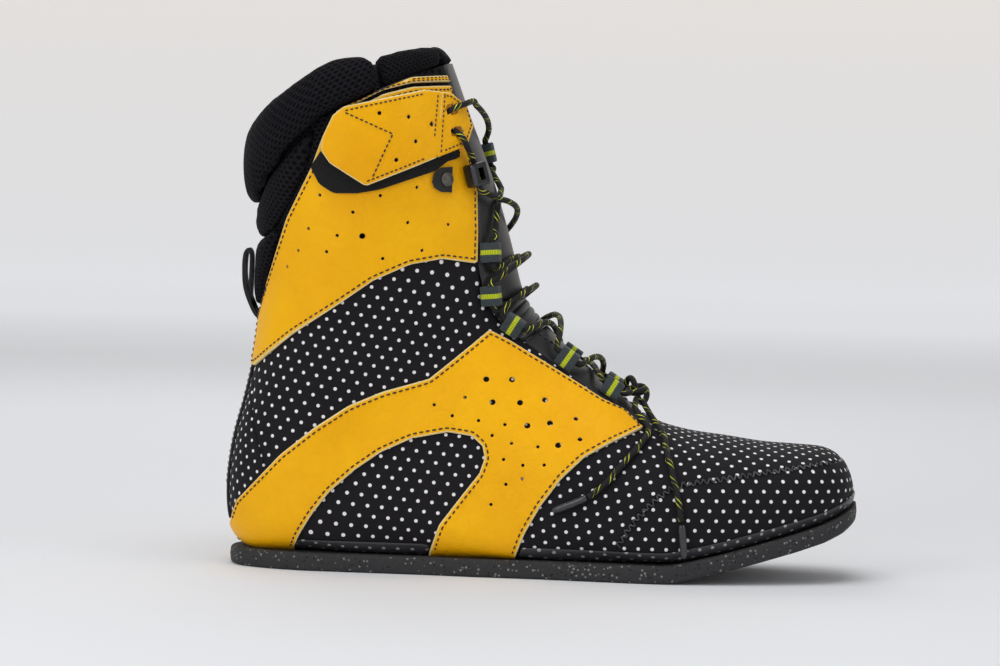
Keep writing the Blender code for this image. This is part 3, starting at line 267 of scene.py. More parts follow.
def makeStudio():
    # painted board: matt and even
    board, tree, shader = startMaterial("paintedStudioBoard", studio["floor"], Roughness=0.9)
    shader.inputs["Specular IOR Level"].default_value = 0.1
    spot = addNode(tree, "NewGeometry")
    height = addNode(tree, "SeparateXYZ", None, spot, out="Z")
    share = addNode(tree, "MapRange", None, height, 0.0, 0.6)
    shade = addNode(tree, "Mix", colourMix, share, studio["floor"], studio["wall"])
    tree.links.new(shader.inputs["Base Color"], shade)
    tree.links.new(shader.inputs["Emission Color"], shade)
    # the lamps don't reach the far floor and the wall, so they glow
    glow = addNode(tree, "MapRange", None, height.node.outputs["Y"], 0.2, 3.2, 0.0, studio["glow"])
    tree.links.new(shader.inputs["Emission Strength"], glow)
    line = [(-9.0, 0.0)] + [(5.0 + 2.0 * math.sin(a), 2.0 - 2.0 * math.cos(a)) for a in np.linspace(0, math.pi / 2, 16)]
    line.append((7.0, 7.0))
    points = [(x, y, z) for y, z in line for x in (-12.0, 12.0)]
    faces = [(2 * k, 2 * k + 1, 2 * k + 3, 2 * k + 2) for k in range(len(line) - 1)]
    mesh = bpy.data.meshes.new("studioSweep")
    mesh.from_pydata(points, [], faces)
    mesh.shade_smooth()
    sweep = bpy.data.objects.new("studioSweep", mesh)
    mesh.materials.append(board)
    bpy.context.scene.collection.objects.link(sweep)
    areaLight("overheadSoftbox", (-0.1, -0.35, 1.35), (0, 0, 0.08), 1.1, 7.8)
    areaLight("frontSoftbox", (-0.9, -1.35, 0.75), (0, 0, 0.1), 0.9, 6.9)
    areaLight("sideSoftbox", (1.3, -0.8, 0.6), (0, 0, 0.08), 0.9, 2.4)
    areaLight("rearSoftbox", (-0.3, 1.2, 1.1), (0, 0, 0.12), 1.0, 3.7)
    world = bpy.data.worlds.new("studioAir")
    world.use_nodes = True
    world.node_tree.nodes["Background"].inputs[0].default_value = colour("#F4F3F2")
    world.node_tree.nodes["Background"].inputs[1].default_value = 0.42
    bpy.context.scene.world = world


setCamera()
makeStudio()
print("studio set")


def loopDistance(points, outline):
    # distance inside an outline in the side view, and minus the distance outside it
    a = np.asarray(outline, float)
    b = np.roll(a, -1, 0)
    edge, rel = (b - a)[None], points[:, None] - a[None]
    share = np.clip((rel * edge).sum(2) / np.maximum((edge**2).sum(2), 1e-9), 0, 1)
    away = np.linalg.norm(rel - share[..., None] * edge, axis=2).min(1)
    x, z = points[:, :1], points[:, 1:]
    crosses = (a[None, :, 1] > z) != (b[None, :, 1] > z)
    rise = np.where(np.abs(edge[..., 1]) < 1e-9, 1e-9, edge[..., 1])
    hit = crosses & (x < a[None, :, 0] + (z - a[None, :, 1]) * edge[..., 0] / rise)
    return np.where(hit.sum(1) % 2 == 1, away, -away)


def fieldOf(outline, side, lane, clips, limit=None):
    # a function from ring and turn to the distance inside a piece's edge
    def field(ring, turn):
        spot = skin(ring, turn)
        flat = spot[:, [0, 2]] + (middleX, 0)
        value = loopDistance(flat, outline)
        for clip in clips:
            value = np.minimum(value, loopDistance(flat, clip))
        if side:
            value = np.minimum(value, side * (spot[:, 1] - bend(spot[:, 0])) - lane)
        if limit:
            value = np.minimum(value, limit - np.abs(spot[:, 1]))
        return value
    return field


def inwardStep(field, at):
    # distance over the skin to the edge, and the ring and turn that 1 mm inwards makes
    ring, turn = at[:, 0], at[:, 1]
    e = 0.02
    low, high = np.clip(ring - e, 0, None), np.clip(ring + e, None, topRing)
    grad = np.stack([(field(high, turn) - field(low, turn)) / (high - low),
                     (field(ring, turn + e) - field(ring, turn - e)) / (2 * e)], 1)
    along, across = slopes(ring, turn)
    metric = np.stack([np.stack([(along * along).sum(1), (along * across).sum(1)], 1),
                       np.stack([(along * across).sum(1), (across * across).sum(1)], 1)], 1)
    step = np.linalg.solve(metric + 1e-4 * np.eye(2), grad[..., None])[..., 0]
    steep = np.sqrt(np.maximum((grad * step).sum(1), 1e-6))
    return field(ring, turn) / np.clip(steep, 0.35, 1.2), step / np.maximum(steep, 0.3)[:, None]


def edgeLoops(field, ringStep, turnStep, turns, fine):
    # the piece's edge as chains of ring and turn, found on a grid, and the grid places inside
    rs = np.linspace(0, topRing, int(topRing / ringStep) + 1)
    ts = np.linspace(turns[0], turns[1], int((turns[1] - turns[0]) / turnStep) + 1)
    gridR, gridT = np.meshgrid(rs, ts, indexing="ij")
    at = np.stack([gridR.ravel(), gridT.ravel()], 1)
    value = field(at[:, 0], at[:, 1])
    wide = len(ts)
    a = (np.arange(len(rs) - 1)[:, None] * wide + np.arange(wide - 1)[None]).ravel()
    tris = np.concatenate([np.stack([a, a + 1, a + wide + 1], 1), np.stack([a, a + wide + 1, a + wide], 1)])
    inside = value > 0
    tris = tris[(inside[tris].sum(1) % 3) != 0]
    pairs = {}
    chains = {}
    ends = []
    for tri in tris:
        hits = []
        for p, q in ((tri[0], tri[1]), (tri[1], tri[2]), (tri[2], tri[0])):
            if inside[p] != inside[q]:
                key = (min(p, q), max(p, q))
                if key not in pairs:
                    pairs[key] = len(ends)
                    ends.append(key)
                hits.append(pairs[key])
        chains.setdefault(hits[0], []).append(hits[1])
        chains.setdefault(hits[1], []).append(hits[0])
    ends = np.array(ends)
    low, high = at[ends[:, 0]], at[ends[:, 1]]
    vLow, vHigh = value[ends[:, 0]], value[ends[:, 1]]
    for _ in range(4):
        spot = low + (high - low) * (vLow / (vLow - vHigh))[:, None]
        v = field(spot[:, 0], spot[:, 1])
        same = (v > 0) == (vLow > 0)
        low, vLow = np.where(same[:, None], spot, low), np.where(same, v, vLow)
        high, vHigh = np.where(same[:, None], high, spot), np.where(same, vHigh, v)
    left, loops = set(range(len(spot))), []
    starts = [k for k in left if len(chains[k]) == 1] + sorted(left)
    for start in starts:
        if start not in left:
            continue
        walk = [start]
        left.discard(start)
        while True:
            step = [k for k in chains[walk[-1]] if k in left]
            if not step:
                break
            walk.append(step[0])
            left.discard(step[0])
        closed = len(chains[start]) == 2
        line = spot[walk]
        if len(line) < 4:
            continue
        real = skin(line[:, 0], line[:, 1])
        keep, last = [0], real[0]
        for k in range(1, len(line) - 1):
            if np.linalg.norm(real[k] - last) > fine:
                keep.append(k)
                last = real[k]
        if not closed or np.linalg.norm(real[-1] - real[0]) > 0.6 * fine:
            keep.append(len(line) - 1)
        loops.append((line[keep], closed))
    return loops, at, value


def roundedRise(d, low, high, soft, start=0.35):
    share = np.clip(d / soft, 0, 1)
    return low + (high - low) * (start + (1 - start) * np.sqrt(1 - (1 - share) ** 2))


def laidSheet(name, outline, side, low, high, materials, body="boot", soft=0.8, start=0.35, groove=None, lane=0.15,
              clips=(), edge=None, holes=(), ringStep=0.14, turnStep=0.14, turns=None, bumpy=None, wall=True,
              limit=None):
    # a piece of cloth or leather on the skin, with its edge rolled over and a wall down to what it lies on
    turns = turns or ((0, sideCount) if side < 0 else (sideCount, 2 * sideCount) if side > 0 else (-sideCount, sideCount))
    field = fieldOf(outline, side, lane, clips, limit)
    shape = fieldOf(edge, side, lane, ()) if edge else field
    loops, at, value = edgeLoops(field, ringStep, turnStep, turns, 0.9)
    loops = [(line, closed) for line, closed in loops if len(line) > 5]
    scale = np.array([11.0, 9.0])
    pins = [line for line, _ in loops]
    edges, count = [], 0
    for line, closed in loops:
        edges += [(count + k, count + k + 1) for k in range(len(line) - 1)]
        if closed:
            edges.append((count + len(line) - 1, count))
        count += len(line)
    rim = np.concatenate(pins)
    holeAt = findMany([hole[:2] for hole in holes], side or -1) if len(holes) else []
    for (*_, long, short, angle), middle in zip(holes, holeAt):
        along, across = slopes(middle[:1], middle[1:])
        flat = np.stack([along[0], across[0]], 1)
        sides = 10 if long < 1.0 else 14
        ahead = np.array([math.cos(angle), 0, math.sin(angle)])
        aside = np.array([-math.sin(angle), 0, math.cos(angle)])
        ring = []
        for k in range(sides):
            a = 2 * math.pi * k / sides
            out = ahead * long * math.cos(a) + aside * short * math.sin(a)
            ring.append(middle + np.linalg.lstsq(flat, out, rcond=None)[0])
        pins.append(np.array(ring))
        edges += [(count + k, count + (k + 1) % sides) for k in range(sides)]
        count += sides
    deep, _ = inwardStep(field, at[value > 0])
    inner = at[value > 0][deep > 1.3 * 0.9]
    rows = []
    for away in (0.3, 0.8):
        _, rimStep = inwardStep(field, rim)
        moved = rim + np.clip(rimStep * away, -0.3, 0.3)
        moved[:, 0] = np.clip(moved[:, 0], 0, topRing)
        good = field(moved[:, 0], moved[:, 1]) > away * 0.5
        rows.append(moved[good])
    free = np.concatenate([inner] + rows)
    if len(holes):
        spots = skin(free[:, 0], free[:, 1])
        hubs = skin(holeAt[:, 0], holeAt[:, 1])
        wide = np.array([hole[2] for hole in holes]) + 0.45
        free = free[(np.linalg.norm(spots[:, None] - hubs[None], axis=2) > wide[None]).all(1)]
    allAt = np.concatenate(pins + [free])
    cut = geometry.delaunay_2d_cdt([Vector(p) for p in allAt * scale], edges, [], 0, 1e-5)
    at = np.array([tuple(v) for v in cut[0]]) / scale
    at[:, 0] = np.clip(at[:, 0], 0, topRing)
    faces = np.array([f for f in cut[2] if len(f) == 3])
    middle = at[faces].mean(1)
    keep = field(middle[:, 0], middle[:, 1]) > 0
    for (*_, long, short, angle), hub in zip(holes, holeAt):
        rel = skin(middle[:, 0], middle[:, 1]) - skin(hub[0], hub[1])
        flat = np.stack([rel[:, 0] * math.cos(angle) + rel[:, 2] * math.sin(angle),
                         -rel[:, 0] * math.sin(angle) + rel[:, 2] * math.cos(angle)], 1)
        keep &= ((flat / (long, short)) ** 2).sum(1) > 0.8
    faces = faces[keep]
    deep, _ = inwardStep(shape, at)
    deep = np.maximum(deep, 0)
    height = roundedRise(deep, low, high, soft, start)
    for hub, hole in zip(holeAt, holes):
        away = np.linalg.norm(skin(at[:, 0], at[:, 1]) - skin(hub[0], hub[1]), axis=1) - hole[2]
        height -= 0.22 * np.exp(-(np.maximum(away, 0) / 0.35) ** 2)
    if groove:
        height -= groove[1] * np.exp(-((deep - groove[0]) / 0.5) ** 2)
    if bumpy is not None:
        height += bumpy(at, deep)
    normal = outward(at[:, 0], at[:, 1])
    base = skin(at[:, 0], at[:, 1])
    points = base + normal * height[:, None]
    faces = [tuple(f) for f in faces]
    edgeUse = {}
    for f in faces:
        for p, q in zip(f, f[1:] + f[:1]):
            edgeUse[(p, q)] = True
    slots = [0] * len(faces)
    if wall:
        lower, extra = {}, []
        for p, q in list(edgeUse):
            if (q, p) not in edgeUse:
                for k in (p, q):
                    if k not in lower:
                        lower[k] = len(points) + len(extra)
                        extra.append(base[k] + normal[k] * low)
                faces.append((q, p, lower[p], lower[q]))
                slots.append(1)
        if extra:
            points = np.concatenate([points, extra])
            deep = np.concatenate([deep, np.zeros(len(extra))])
    obj = makePiece(name, points, faces, materials, body, slots, 48)
    layer = obj.data.uv_layers.new(name="edgeMap")
    index = np.array([loop.vertex_index for loop in obj.data.loops])
    layer.data.foreach_set("uv", np.stack([deep[index], np.zeros(len(index))], 1).ravel())
    sheetLoops[name] = (loops, field, high)
    return obj


sheetLoops = {}


def makePiece(name, points, faces, materials, body="boot", slots=None, sharp=40):
    # a mesh from points in millimetres, riding on a body
    mesh = bpy.data.meshes.new(name)
    mesh.from_pydata([tuple(float(c) * mm for c in p) for p in points], [], [tuple(int(k) for k in f) for f in faces])
    work = bmesh.new()
    work.from_mesh(mesh)
    bmesh.ops.recalc_face_normals(work, faces=work.faces)
    loose = [v for v in work.verts if not v.link_faces]
    bmesh.ops.delete(work, geom=loose, context="VERTS")
    work.to_mesh(mesh)
    work.free()
    mesh.shade_smooth()
    if sharp:
        mesh.set_sharp_from_angle(angle=math.radians(sharp))
    obj = bpy.data.objects.new(name, mesh)
    for material in materials if isinstance(materials, (list, tuple)) else [materials]:
        mesh.materials.append(material)
    if slots is not None and len(slots) == len(mesh.polygons):
        mesh.polygons.foreach_set("material_index", slots)
    bpy.context.scene.collection.objects.link(obj)
    if body:
        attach(obj, body)
    return obj


def unwrapInMm(obj, name="clothMap", turn=0.0, evenly=False):
    # a flat map of the cloth in millimetres, with its rows along the boot
    layer = obj.data.uv_layers.new(name=name)
    obj.data.uv_layers.active = layer
    bpy.context.view_layer.objects.active = obj
    obj.select_set(True)
    bpy.ops.object.mode_set(mode="EDIT")
    bpy.ops.mesh.select_all(action="SELECT")
    if evenly:
        bpy.ops.uv.unwrap(method="MINIMUM_STRETCH", iterations=10, margin=0)  # slower, but every dot keeps its size
    else:
        bpy.ops.uv.unwrap(method="CONFORMAL", margin=0)
    bpy.ops.object.mode_set(mode="OBJECT")
    obj.select_set(False)
    mesh = obj.data
    layer = mesh.uv_layers[name]
    uv = np.zeros(2 * len(mesh.loops))
    layer.data.foreach_get("uv", uv)
    uv = uv.reshape(-1, 2)
    spot = np.zeros(3 * len(mesh.vertices))
    mesh.vertices.foreach_get("co", spot)
    index = np.zeros(len(mesh.loops), int)
    mesh.loops.foreach_get("vertex_index", index)
    spot = spot.reshape(-1, 3)[index] / mm
    start = np.zeros(len(mesh.polygons), int)
    mesh.polygons.foreach_get("loop_start", start)
    a, b, c = start, start + 1, start + 2
    flat = np.abs(np.cross(uv[b] - uv[a], uv[c] - uv[a]))
    real = np.linalg.norm(np.cross(spot[b] - spot[a], spot[c] - spot[a]), axis=1)
    faceY = (spot[a, 1] < np.median(spot[:, 1]) + 1) & (flat > 1e-12)
    uv *= math.sqrt(np.median(real[faceY] / flat[faceY]))
    # the map's x is turned to run along the boot where the cloth faces outwards
    e1, e2 = uv[b] - uv[a], uv[c] - uv[a]
    s1, s2 = spot[b] - spot[a], spot[c] - spot[a]
    det = e1[:, 0] * e2[:, 1] - e1[:, 1] * e2[:, 0]
    ok = faceY & (np.abs(det) > 1e-9)
    du = (s1 * e2[:, 1:] - s2 * e1[:, 1:])[ok] / det[ok, None]
    dv = (s2 * e1[:, :1] - s1 * e2[:, :1])[ok] / det[ok, None]
    heading = math.atan2(np.median(dv[:, 0]), np.median(du[:, 0]))
    heading = -heading - turn
    spin = np.array([[math.cos(heading), -math.sin(heading)], [math.sin(heading), math.cos(heading)]])
    uv = uv @ spin.T
    layer.data.foreach_set("uv", uv.ravel())
    return obj


def merged(name, parts, materials, body="boot", sharp=40):
    # one piece from many small ones, each given as points, faces and a slot
    points, faces, slots = [], [], []
    for spots, shape, slot in parts:
        first = len(points)
        points += [tuple(p) for p in spots]
        faces += [tuple(first + k for k in f) for f in shape]
        slots += [slot] * len(shape)
    return makePiece(name, points, faces, materials, body, slots, sharp)


def stitchShape(a, b, normal, radius, rise):
    # one stitch: a short thread that arches out of its two holes
    a, b, n = np.asarray(a), np.asarray(b), np.asarray(normal)
    along = b - a
    length = np.linalg.norm(along)
    along = along / max(length, 1e-6)
    side = np.cross(n, along)
    spots, faces = [], []
    rows = [(0.0, -0.5, 0.6), (0.12, 0.25, 1.0), (0.5, 1.0, 1.1), (0.88, 0.25, 1.0), (1.0, -0.5, 0.6)]
    for share, up, fat in rows:
        middle = a + along * length * share + n * (rise * up)
        for k in range(6):
            turn = math.pi * k / 3
            spots.append(middle + radius * fat * (side * math.cos(turn) + n * math.sin(turn)))
    for row in range(4):
        for k in range(6):
            p, q = 6 * row + k, 6 * row + (k + 1) % 6
            faces.append((p, q, q + 6, p + 6))
    faces += [tuple(range(5, -1, -1)), tuple(range(24, 30))]
    return spots, faces, 0


def stitchedEdge(name, parts, inset=2.0, pitch=3.0, radius=0.36, lift=0.1, keep=None, high=None):
    # stitches at an even inset from a sheet's edge
    loops, field, top = sheetLoops[name]
    top = top if high is None else high
    for line, closed in loops:
        moved = line.copy()
        for away in (inset * 0.5, inset * 0.5):
            _, step = inwardStep(field, moved)
            moved = moved + np.clip(step * away, -0.35, 0.35)
            moved[:, 0] = np.clip(moved[:, 0], 0, topRing)
        deep, _ = inwardStep(field, moved)
        good = np.abs(deep - inset) < 0.8
        spot, normal = offSkin(moved[:, 0], moved[:, 1], top - 0.12), outward(moved[:, 0], moved[:, 1])
        if closed:
            spot, normal, good = [np.concatenate([v, v[:1]]) for v in (spot, normal, good)]
        run = np.concatenate([[0], np.cumsum(np.linalg.norm(np.diff(spot, axis=0), axis=1))])
        count = int(run[-1] / pitch)
        if count < 2:
            continue
        for k in range(count):
            a, b = (k + 0.16) * run[-1] / count, (k + 0.84) * run[-1] / count
            ends = [np.array([np.interp(s, run, spot[:, c]) for c in range(3)]) for s in (a, b)]
            near = int(np.clip(np.searchsorted(run, (a + b) / 2), 0, len(run) - 1))
            if not good[near] or np.linalg.norm(ends[1] - ends[0]) < pitch * 0.4:
                continue
            if keep and not keep((ends[0] + ends[1]) / 2):
                continue
            parts.append(stitchShape(ends[0], ends[1], normal[near], radius, lift + radius * 0.5))


def stitchedLine(places, parts, height, pitch=3.0, radius=0.36, side=-1, lift=0.1):
    # stitches along a line of side-view places
    dense = smoothRows(places, np.linspace(0, len(places) - 1, 12 * len(places)))
    at = findMany(dense, side)
    spot, normal = offSkin(at[:, 0], at[:, 1], height), outward(at[:, 0], at[:, 1])
    run = np.concatenate([[0], np.cumsum(np.linalg.norm(np.diff(spot, axis=0), axis=1))])
    count = max(1, int(run[-1] / pitch))
    for k in range(count):
        a, b = (k + 0.16) * run[-1] / count, (k + 0.84) * run[-1] / count
        ends = [np.array([np.interp(s, run, spot[:, c]) for c in range(3)]) for s in (a, b)]
        near = int(np.clip(np.searchsorted(run, (a + b) / 2), 0, len(run) - 1))
        parts.append(stitchShape(ends[0], ends[1], normal[near], radius, lift + radius * 0.5))


def evenLine(points, spacing, closed=False):
    points = np.asarray(points, float)
    if closed:
        points = np.concatenate([points[-2:], points, points[:3]])
        dense = smoothRows(points, np.linspace(2, len(points) - 3, 24 * len(points)))
    else:
        dense = smoothRows(points, np.linspace(0, len(points) - 1, 24 * len(points)))
    run = np.concatenate([[0], np.cumsum(np.linalg.norm(np.diff(dense, axis=0), axis=1))])
    places = np.linspace(0, run[-1], max(4, int(run[-1] / spacing) + 1))
    return np.stack([np.interp(places, run, dense[:, k]) for k in range(3)], 1), run[-1]


def roundTube(points, radius, spacing=0.7, sides=12, closed=False, bulge=None):
    # a cord's points, faces and its map: length along it and the turn round it
    line, length = evenLine(points, spacing, closed)
    heading = np.gradient(line, axis=0)
    if closed:
        line = line[:-1]
        heading = np.roll(line, -1, 0) - np.roll(line, 1, 0)
    heading /= np.linalg.norm(heading, axis=1, keepdims=True)
    normal = np.cross(heading[0], (0.3, 0.2, 1.0))
    spots = []
    for k, (spot, ahead) in enumerate(zip(line, heading)):
        normal = normal - ahead * (normal @ ahead)
        normal /= np.linalg.norm(normal)
        other = np.cross(ahead, normal)
        fat = radius * (bulge(k / (len(line) - 1)) if bulge else 1.0)
        for j in range(sides):
            turn = 2 * math.pi * j / sides
            spots.append(spot + fat * (normal * math.cos(turn) + other * math.sin(turn)))
    count, faces, maps = len(line), [], []
    for k in range(count if closed else count - 1):
        n = (k + 1) % count
        for j in range(sides):
            m = (j + 1) % sides
            faces.append((k * sides + j, k * sides + m, n * sides + m, n * sides + j))
            u, v = k * length / count, j / sides
            maps.append([(u, v), (u, v + 1 / sides), (u + length / count, v + 1 / sides), (u + length / count, v)])
    if not closed:
        faces += [tuple(range(sides))[::-1], tuple(range((count - 1) * sides, count * sides))]
        maps += [[(0, 0)] * sides] * 2
    return spots, faces, maps


def mappedPiece(name, spots, faces, maps, materials, body="boot", mapName="laceMap", sharp=60):
    # a piece whose map is given face by face
    mesh = bpy.data.meshes.new(name)
    mesh.from_pydata([tuple(float(c) * mm for c in p) for p in spots], [], [tuple(int(k) for k in f) for f in faces])
    layer = mesh.uv_layers.new(name=mapName)
    layer.data.foreach_set("uv", np.array([uv for face in maps for uv in face], float).ravel())
    work = bmesh.new()
    work.from_mesh(mesh)
    bmesh.ops.recalc_face_normals(work, faces=work.faces)
    work.to_mesh(mesh)
    work.free()
    mesh.shade_smooth()
    mesh.set_sharp_from_angle(angle=math.radians(sharp))
    obj = bpy.data.objects.new(name, mesh)
    for material in materials if isinstance(materials, (list, tuple)) else [materials]:
        mesh.materials.append(material)
    bpy.context.scene.collection.objects.link(obj)
    if body:
        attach(obj, body)
    return obj


def perMm(size):
    return 1000.0 / size


def leatherMaterial(name, main, deep, pale=None, raw=1.0, mapName="edgeMap"):
    # smooth full-grain cowhide, drum dyed and lightly finished: soft shine, fine pebbles, slow colour clouds and
    # painted shade along its creases
    material, tree, shader = startMaterial(name, Roughness=0.5, Specular_IOR_Level=0.18)
    space = addNode(tree, "TexCoord", out="Object")
    cloud = addNode(tree, "TexNoise", {"Scale": perMm(38), "Detail": 3.0}, Vector=space)
    tone = addNode(tree, "Mix", colourMix, addNode(tree, "MapRange", None, cloud, 0.25, 0.6, 0.45, 1.0), deep, main)
    # hide grain is about 0.4 mm and is drawn at 0.8 mm so that it shows
    grain = addNode(tree, "TexVoronoi", {"Scale": perMm(0.9), "Randomness": 0.9}, Vector=space)
    crease = addNode(tree, "TexNoise", {"Scale": perMm(9), "Detail": 2.0, "Distortion": 0.3}, Vector=space)
    fold = addNode(tree, "MapRange", None, addNode(tree, "Math", "ABSOLUTE", addNode(tree, "Math", "SUBTRACT", crease,
                                                                                     0.5)), 0.0, 0.09)
    # painted shade: along the crease lines the colour darkens by up to a tenth towards the deep tone
    tone = addNode(tree, "Mix", colourMix, addNode(tree, "MapRange", None, fold, 0, 1, 0.10, 0.0), tone, deep)
    if pale:
        edge = addNode(tree, "SeparateXYZ", Vector=addNode(tree, "UVMap", {"uv_map": mapName}))
        tone = addNode(tree, "Mix", colourMix, addNode(tree, "MapRange", None, edge, raw, raw * 0.55), tone, pale)
    tree.links.new(shader.inputs["Base Color"], tone)
    tree.links.new(shader.inputs["Roughness"], addNode(tree, "MapRange", None, grain, 0.0, 0.7, 0.38, 0.52))
    height = addNode(tree, "Math", "ADD", addNode(tree, "Math", "MULTIPLY", grain, -0.22),
                     addNode(tree, "Math", "MULTIPLY", fold, 0.22))
    tree.links.new(shader.inputs["Normal"], addNode(tree, "Bump", {"Strength": 0.9, "Distance": 0.0004}, Height=height))
    return material


def rawHideMaterial():
    # the cut edge of the hide: pale, dry fibres
    material, tree, shader = startMaterial("cutCowhideEdge", Roughness=0.85)
    fibre = addNode(tree, "TexNoise", {"Scale": perMm(0.9), "Detail": 3.0}, Vector=addNode(tree, "TexCoord", out="Object"))
    tree.links.new(shader.inputs["Base Color"], addNode(tree, "Mix", colourMix, fibre, "#D9A93C", "#F2DCA0"))
    tree.links.new(shader.inputs["Normal"], addNode(tree, "Bump", {"Strength": 1.0, "Distance": 0.0002}, Height=fibre))
    return material


def dottedMaterial(name, base, dot, mapName="clothMap"):
    # woven nylon with printed dots, 1.9 mm wide in staggered rows 4.4 mm apart
    material, tree, shader = startMaterial(name, Roughness=0.8, Specular_IOR_Level=0.25)
    flat = addNode(tree, "SeparateXYZ", Vector=addNode(tree, "UVMap", {"uv_map": mapName}))
    u, v = flat, flat.node.outputs[1]
    row = addNode(tree, "Math", "DIVIDE", v, 4.4)
    shift = addNode(tree, "Math", "MULTIPLY", addNode(tree, "Math", "FLOORED_MODULO", addNode(tree, "Math", "FLOOR", row),
                                                      2.0), 0.5)
    fx = addNode(tree, "Math", "FRACT", addNode(tree, "Math", "ADD", addNode(tree, "Math", "DIVIDE", u, 6.2), shift))
    fy = addNode(tree, "Math", "FRACT", row)
    dx = addNode(tree, "Math", "MULTIPLY", addNode(tree, "Math", "SUBTRACT", fx, 0.5), 6.2)
    dy = addNode(tree, "Math", "MULTIPLY", addNode(tree, "Math", "SUBTRACT", fy, 0.5), 4.4)
    away = addNode(tree, "Math", "SQRT", addNode(tree, "Math", "ADD", addNode(tree, "Math", "POWER", dx, 2.0),
                                                 addNode(tree, "Math", "POWER", dy, 2.0)))
    ink = addNode(tree, "MapRange", None, away, 0.86, 0.72)
    # the nylon's threads are 0.3 mm and are drawn at 0.6 mm
    warp = addNode(tree, "Math", "SINE", addNode(tree, "Math", "MULTIPLY", u, 10.5))
    weft = addNode(tree, "Math", "SINE", addNode(tree, "Math", "MULTIPLY", v, 10.5))
    weave = addNode(tree, "Math", "MULTIPLY", warp, weft)
    cloud = addNode(tree, "TexNoise", {"Scale": perMm(24), "Detail": 3.0}, Vector=addNode(tree, "TexCoord", out="Object"))
    cloth = addNode(tree, "Mix", colourMix, addNode(tree, "MapRange", None, weave, -1, 1, 0.0, 0.6), base,
                    addNode(tree, "Mix", colourMix, cloud, base, "#26232B"))
    tree.links.new(shader.inputs["Base Color"], addNode(tree, "Mix", colourMix, ink, cloth, dot))
    height = addNode(tree, "Math", "ADD", addNode(tree, "Math", "MULTIPLY", weave, 0.5),
                     addNode(tree, "Math", "MULTIPLY", ink, 0.8))
    tree.links.new(shader.inputs["Normal"], addNode(tree, "Bump", {"Strength": 0.8, "Distance": 0.00012}, Height=height))
    return material


def meshMaterial(name, base, hole, mapName="clothMap", long=2.9, tall=1.9):
    # knitted spacer mesh: rows of long hexagon holes, 2.9 by 1.9 mm, with soft yarn between; the holes are not cut but
    # painted near-black as painted shade
    material, tree, shader = startMaterial(name, Roughness=0.85, Specular_IOR_Level=0.1, Sheen_Weight=0.02,
                                           Sheen_Roughness=0.4)
    shader.inputs["Sheen Tint"].default_value = colour("#8A8896")
    flat = addNode(tree, "SeparateXYZ", Vector=addNode(tree, "UVMap", {"uv_map": mapName}))
    u, v = flat, flat.node.outputs[1]
    spans = []
    for shift in (0.0, 0.5):
        fx = addNode(tree, "Math", "FRACT", addNode(tree, "Math", "ADD", addNode(tree, "Math", "DIVIDE", u, long), shift))
        fy = addNode(tree, "Math", "FRACT", addNode(tree, "Math", "ADD", addNode(tree, "Math", "DIVIDE", v, tall * 2),
                                                    shift))
        dx = addNode(tree, "Math", "MULTIPLY", addNode(tree, "Math", "SUBTRACT", fx, 0.5), 1.25)
        dy = addNode(tree, "Math", "MULTIPLY", addNode(tree, "Math", "SUBTRACT", fy, 0.5), 2.3)
        spans.append(addNode(tree, "Math", "SQRT", addNode(tree, "Math", "ADD", addNode(tree, "Math", "POWER", dx, 2.0),
                                                     addNode(tree, "Math", "POWER", dy, 2.0))))
    away = addNode(tree, "Math", "MINIMUM", spans[0], spans[1])
    yarn = addNode(tree, "MapRange", None, away, 0.30, 0.46)
    fuzz = addNode(tree, "TexNoise", {"Scale": perMm(0.7), "Detail": 3.0}, Vector=addNode(tree, "TexCoord", out="Object"))
    thread = addNode(tree, "Mix", colourMix, addNode(tree, "MapRange", None, fuzz, 0.35, 0.7), base, "#211F25")
    # painted shade: inside the holes the colour is the near-black hole colour
    tree.links.new(shader.inputs["Base Color"], addNode(tree, "Mix", colourMix, yarn, hole, thread))
    tree.links.new(shader.inputs["Normal"], addNode(tree, "Bump", {"Strength": 0.9, "Distance": 0.0006},
                                                    Height=addNode(tree, "Math", "ADD", yarn,
                                                                   addNode(tree, "Math", "MULTIPLY", fuzz, 0.25))))
    return material


def fabricMaterial(name, base, light, size, rough=0.8, depth=0.0002, sheen=0.3, coat=0.0):
    # napped or woven cloth by its fibre size
    material, tree, shader = startMaterial(name, Roughness=rough, Sheen_Weight=sheen, Sheen_Roughness=0.5,
                                           Coat_Weight=coat, Coat_Roughness=0.3)
    space = addNode(tree, "TexCoord", out="Object")
    fibre = addNode(tree, "TexNoise", {"Scale": perMm(size), "Detail": 4.0, "Roughness": 0.65}, Vector=space)
    cloud = addNode(tree, "TexNoise", {"Scale": perMm(size * 22), "Detail": 2.0}, Vector=space)
    tone = addNode(tree, "Math", "ADD", addNode(tree, "Math", "MULTIPLY", fibre, 0.65),
                   addNode(tree, "Math", "MULTIPLY", cloud, 0.35))
    tree.links.new(shader.inputs["Base Color"], addNode(tree, "Mix", colourMix, addNode(tree, "MapRange", None, tone, 0.36,
                                                                                        0.64), base, light))
    tree.links.new(shader.inputs["Normal"], addNode(tree, "Bump", {"Strength": 0.8, "Distance": depth}, Height=fibre))
    return material


